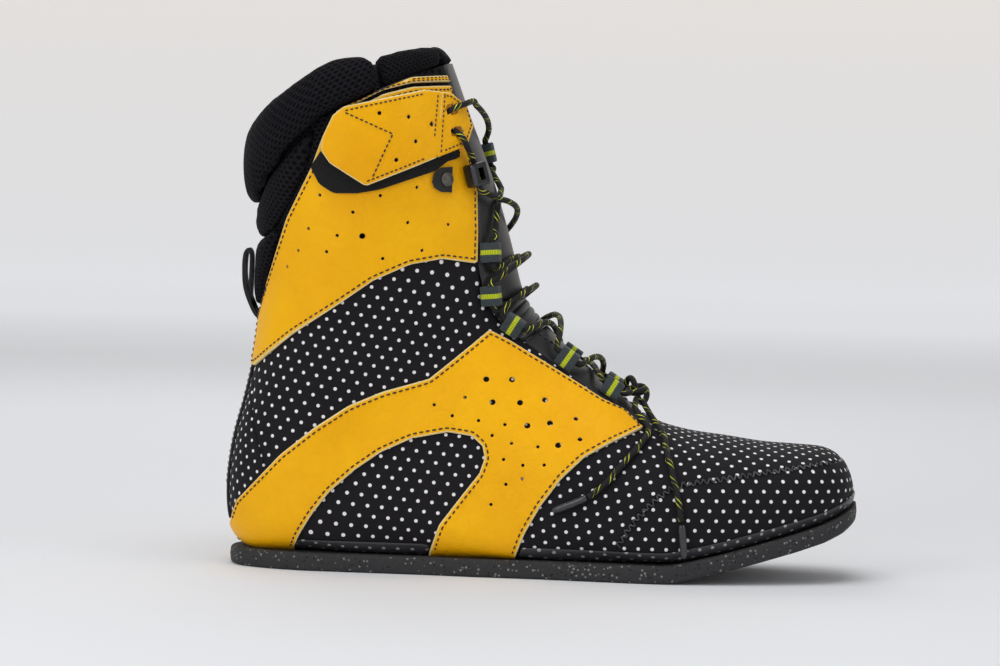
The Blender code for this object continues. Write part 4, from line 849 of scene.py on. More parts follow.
def webbingMaterial(name, base, light, stripe=None):
    # woven polyester tape: ribs 1.1 mm apart across it, and a lime line along its middle
    material, tree, shader = startMaterial(name, Roughness=0.7, Sheen_Weight=0.2, Sheen_Roughness=0.4)
    flat = addNode(tree, "SeparateXYZ", Vector=addNode(tree, "UVMap", {"uv_map": "tapeMap"}))
    u, v = flat, flat.node.outputs[1]
    rib = addNode(tree, "Math", "SINE", addNode(tree, "Math", "MULTIPLY", u, 5.7))
    cord = addNode(tree, "Math", "SINE", addNode(tree, "Math", "MULTIPLY", v, 7.5))
    weave = addNode(tree, "Math", "MULTIPLY", rib, cord)
    tone = addNode(tree, "Mix", colourMix, addNode(tree, "MapRange", None, weave, -0.8, 0.8), base, light)
    if stripe:
        line = addNode(tree, "MapRange", None, addNode(tree, "Math", "ABSOLUTE", v), 1.15, 0.95)
        tone = addNode(tree, "Mix", colourMix, line, tone, addNode(tree, "Mix", colourMix, addNode(tree, "MapRange", None,
                                                                                                   rib, -1, 1), stripe, "#A9B512"))
    tree.links.new(shader.inputs["Base Color"], tone)
    tree.links.new(shader.inputs["Normal"], addNode(tree, "Bump", {"Strength": 0.8, "Distance": 0.0002}, Height=weave))
    return material


def laceMaterial():
    # braided polyester cord, 2.8 mm: eight black strands with a pair of lime tracer threads
    material, tree, shader = startMaterial("braidedPolyesterCord", Roughness=0.62, Specular_IOR_Level=0.35)
    flat = addNode(tree, "SeparateXYZ", Vector=addNode(tree, "UVMap", {"uv_map": "laceMap"}))
    u, v = flat, flat.node.outputs[1]
    one = addNode(tree, "Math", "ADD", addNode(tree, "Math", "MULTIPLY", v, 4.0), addNode(tree, "Math", "DIVIDE", u, 3.0))
    two = addNode(tree, "Math", "SUBTRACT", addNode(tree, "Math", "MULTIPLY", v, 4.0),
                  addNode(tree, "Math", "DIVIDE", u, 3.0))
    ribs = [addNode(tree, "Math", "ABSOLUTE", addNode(tree, "Math", "SINE", addNode(tree, "Math", "MULTIPLY", side,
                                                                                    2 * math.pi)))
            for side in (one, two)]
    braid = addNode(tree, "Math", "MAXIMUM", ribs[0], ribs[1])
    # the tracers come to the top of the braid in short flecks, 9.6 mm apart
    hop = addNode(tree, "Math", "FRACT", addNode(tree, "Math", "ADD", addNode(tree, "Math", "DIVIDE", u, 9.6),
                                                 addNode(tree, "Math", "MULTIPLY", v, 1.0)))
    near = addNode(tree, "Math", "ABSOLUTE", addNode(tree, "Math", "SUBTRACT", hop, 0.5))
    pair = addNode(tree, "Math", "ABSOLUTE", addNode(tree, "Math", "SUBTRACT", near, 0.13))
    fleck = addNode(tree, "Math", "MULTIPLY", addNode(tree, "MapRange", None, pair, 0.045, 0.03),
                    addNode(tree, "MapRange", None, ribs[0], 0.6, 0.85))
    tone = addNode(tree, "Mix", colourMix, addNode(tree, "MapRange", None, braid, 0.5, 1.0), "#050506", "#18181B")
    tree.links.new(shader.inputs["Base Color"], addNode(tree, "Mix", colourMix, fleck, tone, "#D4D838"))
    tree.links.new(shader.inputs["Normal"], addNode(tree, "Bump", {"Strength": 0.9, "Distance": 0.00035}, Height=braid))
    return material


def foamMaterial():
    # die-cut EVA foam, charcoal with pale and dark crumbs 0.9 mm across
    material, tree, shader = startMaterial("dieCutEvaFoam", Roughness=0.85)
    space = addNode(tree, "TexCoord", out="Object")
    cell = addNode(tree, "TexVoronoi", {"Scale": perMm(1.5)}, Vector=space)
    speck = addNode(tree, "TexWhiteNoise", Vector=cell.node.outputs["Position"])
    spot = addNode(tree, "Math", "MULTIPLY", addNode(tree, "MapRange", None, cell, 0.42, 0.25),
                   addNode(tree, "MapRange", None, speck, 0.74, 0.8))
    dark = addNode(tree, "Math", "MULTIPLY", addNode(tree, "MapRange", None, cell, 0.42, 0.25),
                   addNode(tree, "MapRange", None, speck, 0.26, 0.2))
    pore = addNode(tree, "TexNoise", {"Scale": perMm(0.8), "Detail": 3.0}, Vector=space)
    tone = addNode(tree, "Mix", colourMix, pore, "#222224", "#38383A")
    tone = addNode(tree, "Mix", colourMix, addNode(tree, "Math", "MULTIPLY", spot, 0.75), tone, "#8E8E8C")
    tree.links.new(shader.inputs["Base Color"], addNode(tree, "Mix", colourMix, dark, tone, "#141415"))
    tree.links.new(shader.inputs["Normal"], addNode(tree, "Bump", {"Strength": 0.8, "Distance": 0.0002}, Height=pore))
    return material


def metalMaterial(name, base, rough):
    # blackened zinc casting: dark satin metal with faint tumbling marks
    material, tree, shader = startMaterial(name, base, Metallic=1.0)
    scuff = addNode(tree, "TexNoise", {"Scale": perMm(1.6), "Detail": 4.0}, Vector=addNode(tree, "TexCoord", out="Object"))
    tree.links.new(shader.inputs["Roughness"], addNode(tree, "MapRange", None, scuff, 0.3, 0.7, rough * 0.8, rough * 1.3))
    tree.links.new(shader.inputs["Normal"], addNode(tree, "Bump", {"Strength": 0.5, "Distance": 0.00004}, Height=scuff))
    return material


def filmMaterial():
    # thin polyurethane film, hot pressed over the cloth: grey, hazy and a little glossy, the dots showing through
    material = dottedMaterial("hotPressedPuFilm", "#3A393D", "#A9A7AB", "clothMap")
    shader = material.node_tree.nodes["Principled BSDF"]
    shader.inputs["Roughness"].default_value = 0.45
    shader.inputs["Coat Weight"].default_value = 0.25
    shader.inputs["Coat Roughness"].default_value = 0.3
    return material


# the second colour of each hide is the darker tone of its colour clouds and also the painted shade in its creases
hideMain = leatherMaterial("fullGrainCowhide", "#FDBB02", "#EBA000", "#F2DEA0", 0.8)
hidePlain = leatherMaterial("fullGrainCowhideTrim", "#FBB802", "#E79C00", "#F2DEA0", 0.7)
hideEdge = rawHideMaterial()
dots = dottedMaterial("dotPrintedNylon", "#0F0D12", "#F4F2F7")
# the second colour of each spacer mesh is the painted shade in its holes
spacer = meshMaterial("knittedSpacerMesh", "#131116", "#030303")
spacerFine = meshMaterial("knittedSpacerMeshFine", "#08080A", "#020202", long=2.4, tall=1.5)
satin = fabricMaterial("calenderedNylonSatin", "#161617", "#222224", 0.8, 0.42, 0.00007, 0.0, 0.1)
fleece = fabricMaterial("brushedPolyesterFleece", "#2F3033", "#5B5D61", 1.6, 0.95, 0.0009, 0.6)
darkCloth = fabricMaterial("blackTricot", "#0C0C0E", "#1F1F22", 0.7, 0.85, 0.00012)
pile = fabricMaterial("hookAndPileTape", "#030303", "#101011", 0.9, 0.95, 0.0008, 0.05)
fibreboard = fabricMaterial("pressedFibreboard", "#8A8478", "#B2AB9C", 1.2, 0.9, 0.0002, 0.0)
stiffener = fabricMaterial("mouldedHeelStiffener", "#B9B09A", "#D0C8B4", 1.5, 0.6, 0.0001, 0.0)
foamPad = fabricMaterial("openCellFoamPadding", "#3A3A3D", "#57575B", 1.0, 0.95, 0.0004, 0.2)
thread = fabricMaterial("bondedPolyesterThread", "#1C1003", "#3E2608", 0.5, 0.5, 0.00005, 0.2)
blackThread = fabricMaterial("glossyBlackThread", "#0B0B0D", "#2B2B30", 0.5, 0.35, 0.00005, 0.2, 0.3)
silverThread = fabricMaterial("silverThread", "#8E8C86", "#CFCDC6", 0.5, 0.4, 0.00005, 0.2, 0.2)
webbing = webbingMaterial("wovenPolyesterWebbing", "#232D31", "#3B474C", "#D3E000")
darkTape = webbingMaterial("wovenBlackTape", "#101113", "#26282B")
lace = laceMaterial()
foam = foamMaterial()
film = filmMaterial()
gunmetal = metalMaterial("blackenedZincCasting", "#4A4B4F", 0.34)
rivetMetal = metalMaterial("burnishedSteel", "#6A6762", 0.42)
aglet = fabricMaterial("shrunkAcetateTip", "#1E1F21", "#3A3B3E", 0.7, 0.25, 0.00003, 0.0, 0.4)
cadFinish = {"strobel_board": fibreboard, "heel_counter": stiffener, "toe_puff": stiffener, "footbed": foamPad,
             "tongue_shin_padding": foamPad, "tongue_instep_padding": foamPad, "loop_patch": pile, "hook_patch": pile,
             "lock_strap": darkCloth, "lace_lock": gunmetal, "lock_rivet": rivetMetal, "felt_lining_toe": fleece, "felt_lining_heel": fleece,
             "felt_lining_shaft": fleece}
print("materials made")

floorPlaces = (-12, -10, 200, 206, 226, 243, 258, 271, 279, 290, 300)


def floorLine(height, first=-12, last=300):
    return [(x, 8.3 + height + float(rocker(x - middleX))) for x in floorPlaces if first <= x <= last]


tongueEdge = [(91, 245), (95.8, 226), (98.2, 219), (101, 210), (105, 197), (108.5, 183), (111.3, 171), (112.6, 155),
              (113, 139), (115, 124.5), (125, 111.5), (146, 97), (168, 82), (184, 70)]
toeSeam = [(179, -10), (179.3, 15.4), (181.5, 20), (188.1, 29.4), (197.2, 38.5), (207.5, 43.8), (233.7, 48),
           (273, 54), (310, 60)]
vampRear = [(188, 72), (176, 64), (163, 57), (150, 46), (138, 28)]
heelEdge = [(4, 92), (11.8, 84), (11.4, 75), (14.1, 61.7), (18.7, 48), (25, 34), (30, 20)]
quarterTop = [(112.8, 146), (97, 148), (82, 145), (65, 137), (49, 125.5), (29, 112)]
bendLow = [(150.5, 117.7), (134, 105.3)]
bendHigh = [(141.5, 125.0), (117, 121.9)]

sole = {"toeCentre": 240, "thick": 8.0, "margin": 1.6, "round": 1.7}


def footprint(margin, front):
    rings, turns = np.linspace(0, topRing, 160)[:, None], np.linspace(0, 2 * sideCount, 240)[None]
    cloud = skin(rings, turns).reshape(-1, 3)
    cloud = cloud[cloud[:, 2] < rocker(cloud[:, 0]) + sole["thick"] + 9.0][:, :2]
    outline = []
    spine = np.linspace(42 - middleX, front - middleX, 9)
    for end, start, walk, side in ((spine[-1], -90, spine[-2:0:-1], 1.0), (spine[0], 90, spine[1:-1], -1.0)):
        rays = [(end, math.radians(start + turn)) for turn in np.linspace(0, 180, 13)]
        rays += [(x, math.radians(90 * side)) for x in walk]
        for x, angle in rays:
            centre, ray = np.array([x, float(bend(x))]), np.array([math.cos(angle), math.sin(angle)])
            away = cloud - centre
            aside = np.abs(away @ np.array([-ray[1], ray[0]]))
            outline.append(centre + ray * ((away @ ray)[aside < 2.5].max() + margin))
    return outline


def makeSole():
    # the foam slab: the footprint bent up at the toe, with its upper and lower edges rounded
    line, _ = evenLine([(*p, 0) for p in footprint(sole["margin"] - 0.1, sole["toeCentre"])], 1.6, closed=True)
    line = line[:-1, :2]
    ahead = np.roll(line, -1, 0) - np.roll(line, 1, 0)
    ahead /= np.linalg.norm(ahead, axis=1, keepdims=True)
    out = np.stack([ahead[:, 1], -ahead[:, 0]], 1)
    r, thick = sole["round"], sole["thick"]
    profile = [(-r - 14, 0.02)] + [(-r + r * math.sin(a), r - r * math.cos(a)) for a in np.linspace(0, math.pi / 2, 6)]
    profile += [(0.25, thick * 0.5)] + [(-r + r * math.cos(a), thick - r + r * math.sin(a)) for a in np.linspace(0,
                                                                                                                 math.pi / 2, 6)]
    profile += [(-r - 14, thick - 0.02)]
    points, faces, count = [], [], len(line)
    for inset, rise in profile:
        spots = line + out * inset
        points += [(x, y, rise + float(rocker(x))) for x, y in spots]
    for row in range(len(profile) - 1):
        for k in range(count):
            n = (k + 1) % count
            faces.append((row * count + k, row * count + n, (row + 1) * count + n, (row + 1) * count + k))
    spine = np.linspace(42 - middleX, sole["toeCentre"] - middleX, 40)
    for row in (0, len(profile) - 1):
        inner = row * count
        loop = [points[inner + k][:2] for k in range(count)]
        middle = [(x, float(bend(x))) for x in spine]
        flat = geometry.delaunay_2d_cdt([Vector(p) for p in loop + middle], [(k, (k + 1) % count) for k in range(count)],
                                        [], 1, 1e-5)
        spare = len(points)
        rise = profile[row][1]
        points += [(v[0], v[1], rise + float(rocker(v[0]))) for v in flat[0]]
        faces += [tuple(spare + k for k in f) for f in flat[2]]
    obj = makePiece("foamSole", points, faces, foam, sharp=0)
    work = bmesh.new()
    work.from_mesh(obj.data)
    bmesh.ops.remove_doubles(work, verts=work.verts, dist=0.00001)
    bmesh.ops.recalc_face_normals(work, faces=work.faces)
    work.to_mesh(obj.data)
    work.free()
    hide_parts("foam_sole")


filmBand = {"height": 5.6, "film": 0.5}


def makeFilm():
    base, top = floorLine(0.5), floorLine(filmBand["height"])
    front = [p for p in base if p[0] > 140] + [p for p in top if p[0] > 140][::-1]
    front = [(134.2, base[0][1])] + front + [(136.4, top[0][1])]
    piece = laidSheet("filmBandFront", front, 0, gap, gap + 0.5, film, soft=0.5, ringStep=0.12)
    unwrapInMm(piece, turn=-0.1)
    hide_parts("film_band_front")
    window = [(33.4, base[0][1]), (93.2, base[0][1]), (95.0, top[0][1]), (35.2, top[0][1])]
    for side, word, node in ((-1, "Lateral", "lateral"), (1, "Medial", "medial")):
        piece = laidSheet("filmBandWindow" + word, window, side, gap, gap + 0.5, film, soft=0.5, ringStep=0.12)
        unwrapInMm(piece)
        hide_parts("film_band_window_" + node)


def makeUpper():
    low = floorLine(3.0)
    start = [p for p in low if p[0] > 179.3]
    toe = toeSeam[1:-1]
    toeWall = [(179.3, low[1][1])] + toe + [toeSeam[-1]] + start[::-1]
    vamp = [(131.5, low[1][1]), (179.3, low[1][1])] + toe + [toeSeam[-1], (310, 100), (188, 100)] + vampRear
    quarter = heelEdge + [(31, low[0][1]), (131.5, low[0][1])] + vampRear[::-1]
    quarter += [p for p in tongueEdge if p[1] < 147][::-1] + quarterTop
    heel = [(-12, low[0][1]), (31, low[0][1])] + heelEdge[::-1] + [(-12, 92)]
    cuff = [(-12, 93), (4, 93.5)] + quarterTop[::-1] + [(112.8, 146.6)]
    cuff += [p for p in tongueEdge if p[1] > 147][::-1] + [(-12, 245)]
    whole = (0, 2 * sideCount)
    parts = (("toeWall", toeWall, 0, dots, None, "toe_wall", "polka", 0.06),
             ("vamp", vamp, 0, dots, None, "vamp", "polka", 0.1),
             ("quarterLateral", quarter, -1, dots, None, "quarter_lateral", "polka", 0.12),
             ("quarterMedial", quarter, 1, dots, None, "quarter_medial", "polka", 0.12),
             ("heelPanel", heel, 0, dots, whole, "heel_panel", "polka", 0.1),
             ("cuffBacking", cuff, 0, spacer, whole, "cuff_backing", "mesh", 0.0))
    for name, outline, side, material, turns, node, slot, tilt in parts:
        # the cloth's face is just under the skin, and its edge turns in at every seam
        piece = laidSheet(name, outline, side, -laminate, -0.02, material, soft=1.6, start=0.8, turns=turns,
                          lane=0.0 if side else 0.15)
        if name == "toeWall":
            closeToe(piece)
            wrapMap(piece)
        else:
            unwrapInMm(piece, turn=-tilt, evenly=name == "vamp")
        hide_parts(node)


def closeToe(piece):
    # the small end of the toe, where the first ring is closed across
    work = bmesh.new()
    work.from_mesh(piece.data)
    tip = [v for v in work.verts if v.co.x > (skinRings[0][0] - middleX - 2.5) * mm]
    openEdges = [e for e in work.edges if len(e.link_faces) == 1 and e.verts[0] in tip and e.verts[1] in tip]
    bmesh.ops.holes_fill(work, edges=openEdges, sides=0)
    bmesh.ops.triangulate(work, faces=[f for f in work.faces if len(f.verts) > 4])
    bmesh.ops.recalc_face_normals(work, faces=work.faces)
    work.to_mesh(piece.data)
    work.free()


def wrapMap(piece):
    # the toe wall's cloth goes round the foot: its map runs along the sole's edge and up the wall
    line = np.asarray(footprint(0.0, sole["toeCentre"]))
    line = np.roll(line, -line[:, 0].argmin(), 0)  # it starts behind the heel, away from the toe wall
    line = np.concatenate([line, line[:1]])
    step = np.diff(line, axis=0)
    run = np.concatenate([[0], np.cumsum(np.linalg.norm(step, axis=1))])
    mesh = piece.data
    spot = np.zeros(3 * len(mesh.vertices))
    mesh.vertices.foreach_get("co", spot)
    spot = spot.reshape(-1, 3) / mm
    away = spot[:, None, :2] - line[None, :-1]
    share = np.clip((away * step).sum(2) / (step ** 2).sum(1), 0, 1)
    far = np.linalg.norm(away - share[..., None] * step, axis=2)
    near = far.argmin(1)
    rows = np.arange(len(spot))
    along = run[near] + share[rows, near] * np.linalg.norm(step, axis=1)[near]
    up = np.hypot(spot[:, 2], far[rows, near])
    uv = np.stack([along, up], 1)
    index = np.zeros(len(mesh.loops), int)
    mesh.loops.foreach_get("vertex_index", index)
    layer = mesh.uv_layers.new(name="clothMap")
    layer.data.foreach_set("uv", uv[index].ravel())


cuffHoles = [(43.5, 168.5, 0.8), (69.9, 168.9, 0.8), (85.4, 172.9, 0.8), (58.1, 161.3, 0.8), (81.8, 157.2, 0.8),
             (99.1, 156.6, 0.8), (38.5, 153.5, 0.8), (51.3, 150.8, 0.8), (62.3, 150.8, 1.4), (88.2, 144.9, 0.8),
             (34.0, 143.5, 0.8), (46.7, 143.4, 0.8), (71.3, 141.0, 0.8), (29.0, 136.0, 0.8)]
lowerHoles = [(118.3, 87.7, 1.4), (129.6, 87.7, 1.4), (121.5, 77.7, 1.4), (133.7, 77.7, 1.4), (144.6, 79.0, 1.4),
              (137.4, 67.7, 1.4), (147.4, 69.0, 1.4), (151.5, 59.5, 1.4), (158.7, 70.9, 1.1), (161.0, 62.2, 1.1),
              (109.2, 79.5, 0.8), (95.6, 75.9, 0.8), (103.8, 71.3, 0.8), (115.6, 69.5, 0.8), (127.4, 68.0, 0.8),
              (121.9, 63.1, 0.8), (130.7, 59.9, 0.8), (142.5, 58.6, 0.8), (127.4, 52.7, 0.8), (136.1, 50.4, 0.8),
              (145.6, 50.8, 0.8), (136.1, 44.5, 0.8), (128.8, 41.8, 0.8), (122.4, 32.7, 0.8)]
leatherCut = {
    "cuff": [(-10, 86), (13.1, 90.6), (31.8, 106.1), (51.9, 119.8), (67.4, 131.1), (83.4, 138.6), (96.8, 141.3),
             (112.2, 139.3), (111.8, 155), (110.9, 171), (108, 183), (104.6, 197), (100.6, 210), (97.7, 218.5),
             (82.2, 217.2), (70, 213.6), (56.9, 206.2), (49.2, 200.8), (44, 194), (39.1, 180.2), (28.2, 157.9),
             (13.7, 113.5), (-10, 112)],
    "facing": [(49.5, 202.2), (56.5, 207.8), (69.7, 215.2), (82, 218.9), (97.2, 220.3), (96.3, 223), (82.2, 221.6),
               (70, 217.9), (56.9, 210.4), (49.8, 205.4)],
    "lower": [(-4, 12.5), (3, 18.9), (7, 29.9), (16.4, 40), (27, 51.7), (42.1, 64.4), (57.3, 74.8), (72.3, 81.4),
              (92.7, 87.4), (102.5, 95.6), (112.3, 104.1), (118.6, 109.6), (128.4, 104.7), (145.8, 94.2), (159.8, 85.6),
              (170.2, 79.1), (179.9, 75), (188.4, 67.2), (174.8, 61.1), (163.4, 54.7), (153.6, 45.2), (144.6, 32.8),
              (137.8, 20.5), (132.9, 8.6), (94, 8.6), (99.3, 22.8), (109, 36.1), (116.6, 46.1), (118.9, 53),
              (117.7, 58.3), (112.8, 62.6), (102, 64.1), (86, 60.8), (72.3, 54.3), (61, 46.2), (49.6, 35.9),
              (42.1, 25.9), (36, 15.8), (32.3, 8.6), (7.5, 8.6), (-4, 8.6)],
}


def makeLeather():
    lane = 4.8 + gap
    stitches = []
    for side, word, node in ((-1, "Lateral", "lateral"), (1, "Medial", "medial")):
        for key, holes, plain in (("cuff", cuffHoles, False), ("lower", lowerHoles, False), ("facing", [], True)):
            punched = [(x, z, r, r, 0.0) for x, z, r in holes]
            name = key + "Overlay" + word
            piece = laidSheet(name, leatherCut[key], side, gap, gap + hide, [hidePlain if plain else hideMain, hideEdge],
                              lane=lane, holes=punched, groove=None if plain else (1.9, 0.16), soft=0.7, start=0.5)
            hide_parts({"cuff": "cuff_overlay_", "lower": "lower_overlay_", "facing": "cuff_facing_"}[key] + node)
            if key == "facing":
                stitchedEdge(name, stitches, inset=0.85, pitch=2.6, radius=0.28)
            else:
                stitchedEdge(name, stitches, inset=1.9, pitch=2.9,
                             keep=lambda p: p[2] > 10.5 + float(rocker(p[0])) and not (p[0] < -139 and p[2] < 24))
    seam = merged("leatherStitching", stitches, thread)


roll = {"start": 4.4, "bulge": 10.5, "rise": [17.0, 22.5, 19.0, 15.0], "cap": 1.6, "voxel": 3.5}
wing = {"end": 1.45, "rise": [9.5, 10.5, 12.5, 14.5]}
valley = [(0, 162.5), (13.3, 163), (20, 177), (31, 190), (41, 200), (47, 208), (60, 240)]
middleRoll = [(-14, 161.2), (13.3, 161.5), (20, 175.5), (31, 188.5), (40.6, 198), (37, 181.5), (29.5, 166),
              (22, 153), (13, 147.5), (-14, 146)]
lowerRoll = [(-14, 145), (13, 146.4), (20.8, 151), (26, 157), (22, 145), (14.2, 118), (-14, 117.5)]


def rimSweep(name, turns, sectionAt, material, body="boot", around=30, taper=2.2):
    # padding swept along the top rim, with rounded ends and a map in millimetres
    spots, maps, runs = [], [], 0.0
    turns = np.asarray(turns, float)
    last = None
    rows = []
    for turn in turns:
        rim, normal = skin(topRing, turn), outward(np.array([topRing * 1.0]), np.array([turn]))[0]
        up = rim - skin(topRing - 0.5, turn)
        up /= np.linalg.norm(up)
        section = np.array(sectionAt(turn, rim), float)
        if last is not None:
            runs += np.linalg.norm(rim - last)
        last = rim
        closed = np.concatenate([section[-2:], section, section[:3]])
        ring = smoothRows(closed, np.linspace(2, len(closed) - 3, around + 1))
        rows.append((rim, normal, up, ring, runs))
    total = rows[-1][4]
    for rim, normal, up, ring, run in rows:
        centre = ring[:-1].mean(0)
        away = min(run, total - run)
        share = math.sqrt(max(0.0, 1 - (1 - min(1.0, away / taper)) ** 2)) if taper else 1.0
        ring = centre + (ring - centre) * max(share, 0.05)
        across = np.concatenate([[0], np.cumsum(np.linalg.norm(np.diff(ring, axis=0), axis=1))])
        spots += [rim + normal * out + up * rise for out, rise in ring[:-1]]
        maps.append([(run, v) for v in across])
    faces, uvs = [], []
    for row in range(len(rows) - 1):
        for k in range(around):
            n = (k + 1) % around
            faces.append((row * around + k, row * around + n, (row + 1) * around + n, (row + 1) * around + k))
            uvs.append([maps[row][k], maps[row][k + 1], maps[row + 1][k + 1], maps[row + 1][k]])
    faces += [tuple(range(around)), tuple(range((len(rows) - 1) * around, len(rows) * around))]
    uvs += [[(0, 0)] * around] * 2
    return mappedPiece(name, spots, faces, uvs, material, body, "clothMap", 80)


def puffUp(obj, voxel, cap, pressure=4.0):
    # the padding swells in its cover by cloth simulation, and no point moves further than the cap
    source = obj.data.copy()
    work = bpy.data.objects.new(obj.name + "Work", obj.data.copy())
    bpy.context.scene.collection.objects.link(work)
    bpy.context.view_layer.objects.active = work
    shape = work.modifiers.new("even", "REMESH")
    shape.mode, shape.voxel_size = "VOXEL", voxel * mm
    bpy.ops.object.modifier_apply(modifier="even")
    rest = np.zeros(3 * len(work.data.vertices))
    work.data.vertices.foreach_get("co", rest)
    cloth = work.modifiers.new("cover", "CLOTH")
    cloth.settings.use_pressure = True
    cloth.settings.uniform_pressure_force = pressure
    cloth.settings.effector_weights.gravity = 0
    cloth.collision_settings.use_collision = False
    cloth.point_cache.frame_start, cloth.point_cache.frame_end = 1, 20
    for step in range(1, 21):
        bpy.context.scene.frame_set(step)
    shaped = work.evaluated_get(bpy.context.evaluated_depsgraph_get()).data
    moved = np.zeros(3 * len(shaped.vertices))
    shaped.vertices.foreach_get("co", moved)
    bpy.context.scene.frame_set(1)
    rest, moved = rest.reshape(-1, 3), moved.reshape(-1, 3)
    shift = moved - rest
    far = np.linalg.norm(shift, axis=1, keepdims=True)
    rest += shift * np.minimum(1.0, cap * mm / np.maximum(far, 1e-9))
    work.modifiers.remove(cloth)
    work.data.vertices.foreach_set("co", rest.ravel())
    fine = work.modifiers.new("fine", "SUBSURF")
    fine.levels = fine.render_levels = 1
    bpy.ops.object.modifier_apply(modifier="fine")
    copyMap(source, work.data)
    material = obj.data.materials[0]
    obj.data = work.data
    obj.data.materials.clear()
    obj.data.materials.append(material)
    obj.data.polygons.foreach_set("material_index", [0] * len(obj.data.polygons))
    obj.data.shade_smooth()
    bpy.data.objects.remove(work)
    print("puffed", obj.name, len(rest))


def copyMap(source, target):
    # the cloth's map, carried to the remeshed cover from the nearest face of the first shape
    spots = [v.co.copy() for v in source.vertices]
    tree = BVHTree.FromPolygons(spots, [tuple(p.vertices) for p in source.polygons])
    old = source.uv_layers["clothMap"].data
    layer = target.uv_layers.new(name="clothMap")
    for face in target.polygons:
        hit = tree.find_nearest(face.center)
        poly = source.polygons[hit[2]]
        corners = list(poly.loop_indices)[:3]
        a, b, c = [spots[source.loops[k].vertex_index] for k in corners]
        uvA, uvB, uvC = [old[k].uv for k in corners]
        e1, e2 = b - a, c - a
        n = e1.cross(e2)
        area = max(n.length_squared, 1e-18)
        for k in face.loop_indices:
            p = target.vertices[target.loops[k].vertex_index].co - a
            share2 = n.dot(p.cross(e2)) / area
            share3 = n.dot(e1.cross(p)) / area
            layer.data[k].uv = uvA + (uvB - uvA) * share2 + (uvC - uvA) * share3


def makeCollar():
    first, last = roll["start"], 2 * sideCount - roll["start"]
    valleyX, valleyZ = [p[0] - middleX for p in valley], [p[1] for p in valley]
    slotIn, slotTop = -innerFace - 4.0 - 0.9, 0.6

    def rollAt(turn, rim):
        behind = math.sin(math.pi * (turn - first) / (last - first))
        low = min(slotTop + 0.1, np.interp(rim[0], valleyX, valleyZ) - rim[2]) + 0.3
        high = float(smoothRows(roll["rise"], np.array([np.interp(behind, [0, 0.35, 0.8, 1], [0, 1, 2, 3])]))[0]) - 0.6
        out = (roll["bulge"] - 0.7) * (0.75 + 0.25 * behind)
        outer = ((0.62, 0.015), (0.93, 0.17), (1.0, 0.45), (0.86, 0.74), (0.45, 0.95))
        inner = ((-1.8, 1.0), (-7.0, 0.93), (-11.4, 0.6), (-12.4, 0.1))
        section = [(out * share, low + (high - low) * level) for share, level in outer]
        section += [(deep, high * level) for deep, level in inner]
        return section + [(-12.0, -8.0), (slotIn + 0.3, -10.5), (slotIn + 0.1, -4), (slotIn, slotTop + 0.4),
                          (1.4, slotTop + 0.4), (1.6, low)]

    turns = np.linspace(first + 0.02, last - 0.02, 110)
    piece = rimSweep("topRoll", turns, rollAt, spacer, taper=1.4, around=44)
    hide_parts("collar_roll_top")
    puffUp(piece, roll["voxel"], roll["cap"])
    for side, word, node in ((-1, "Lateral", "lateral"), (1, "Medial", "medial")):
        places = np.linspace(wing["end"] + 0.05, first - 0.05, 26)

        def wingAt(turn, _):
            near = turn if turn < sideCount else 2 * sideCount - turn
            high = float(np.interp(near, [wing["end"], 2.0, 3.0, first - 0.06], wing["rise"])) - 0.3
            return [(0.5, 0.9), (2.1, high * 0.3), (1.6, high * 0.72), (-1.6, high), (-5.9, high * 0.97),
                    (-8.9, high * 0.6), (-9.2, 0.9)]

        piece = rimSweep("collarWing" + word, places if side < 0 else (2 * sideCount - places)[::-1], wingAt, spacerFine,
                         taper=1.1)
        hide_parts("collar_wing_" + node)
        puffUp(piece, 2.4, 0.5)
    for name, outline, node in (("middleRoll", middleRoll, "collar_roll_middle"),
                                ("lowerRoll", lowerRoll, "collar_roll_lower")):
        piece = laidSheet(name, outline, 0, gap, gap + 4.3, spacer, soft=7.5, start=0.12, turns=(0, 2 * sideCount))
        unwrapInMm(piece)
        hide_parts(node)


bellows = {"ribs": 5, "rise": 0.75}


def makeTongue():
    instep = [(187.7, 100), (170, 110)] + bendLow + tongueEdge[-3:] + [(187.7, 72)]
    fold = bendLow + [(125, 111.5)] + bendHigh[::-1]
    shin = bendHigh + tongueEdge[-6::-1] + [(120, 245), (150, 190)]

    def ribs(at, deep):
        spot = skin(at[:, 0], at[:, 1])
        # the ribs lie across the bend, from its lower edge to its upper edge
        low, high = np.array([142.2, 111.5]), np.array([129.2, 123.4])
        axis = (high - low) / ((high - low) ** 2).sum()
        share = (spot[:, [0, 2]] + (middleX, 0) - low) @ axis
        return bellows["rise"] * (np.abs(np.sin(math.pi * bellows["ribs"] * share)) ** 0.7 - 0.9) * np.clip(deep, 0, 1)

    for name, outline, node, body, extra in (("tongueInstep", instep, "tongue_instep", "boot", {}),
                                             ("tongueBellows", fold, "tongue_bellows", None,
                                              {"bumpy": ribs, "ringStep": 0.07}),
                                             ("tongueShin", shin, "tongue_shin", "tongue", {})):
        piece = laidSheet(name, outline, 0, -laminate, -0.02, satin, body=body, soft=1.2, start=0.75, **extra)
        if name == "tongueBellows":
            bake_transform(piece)
        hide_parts(node)

    def padAt(turn, _):
        lean = 1 - 0.12 * abs(turn)
        return [(-0.5, 0.7), (-0.8, 5.0), (-2.8, 8.8 * lean), (-6.0, 10.7 * lean), (-9.3, 9.2 * lean), (-10.5, 5.0),
                (-9.9, 0.7)]

    piece = rimSweep("tongueTopPad", np.linspace(-1.08, 1.08, 22), padAt, spacerFine, "tongue", taper=3.0)
    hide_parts("tongue_top_pad")
    puffUp(piece, 2.2, 0.4)
    stitches = []
    stitchedLine([(184.5, 76.5), (170, 88), (150, 102), (137, 111)], stitches, 0.05, 3.2, 0.3)
    seam = merged("tongueStitching", stitches, blackThread)


print("shapes ready")

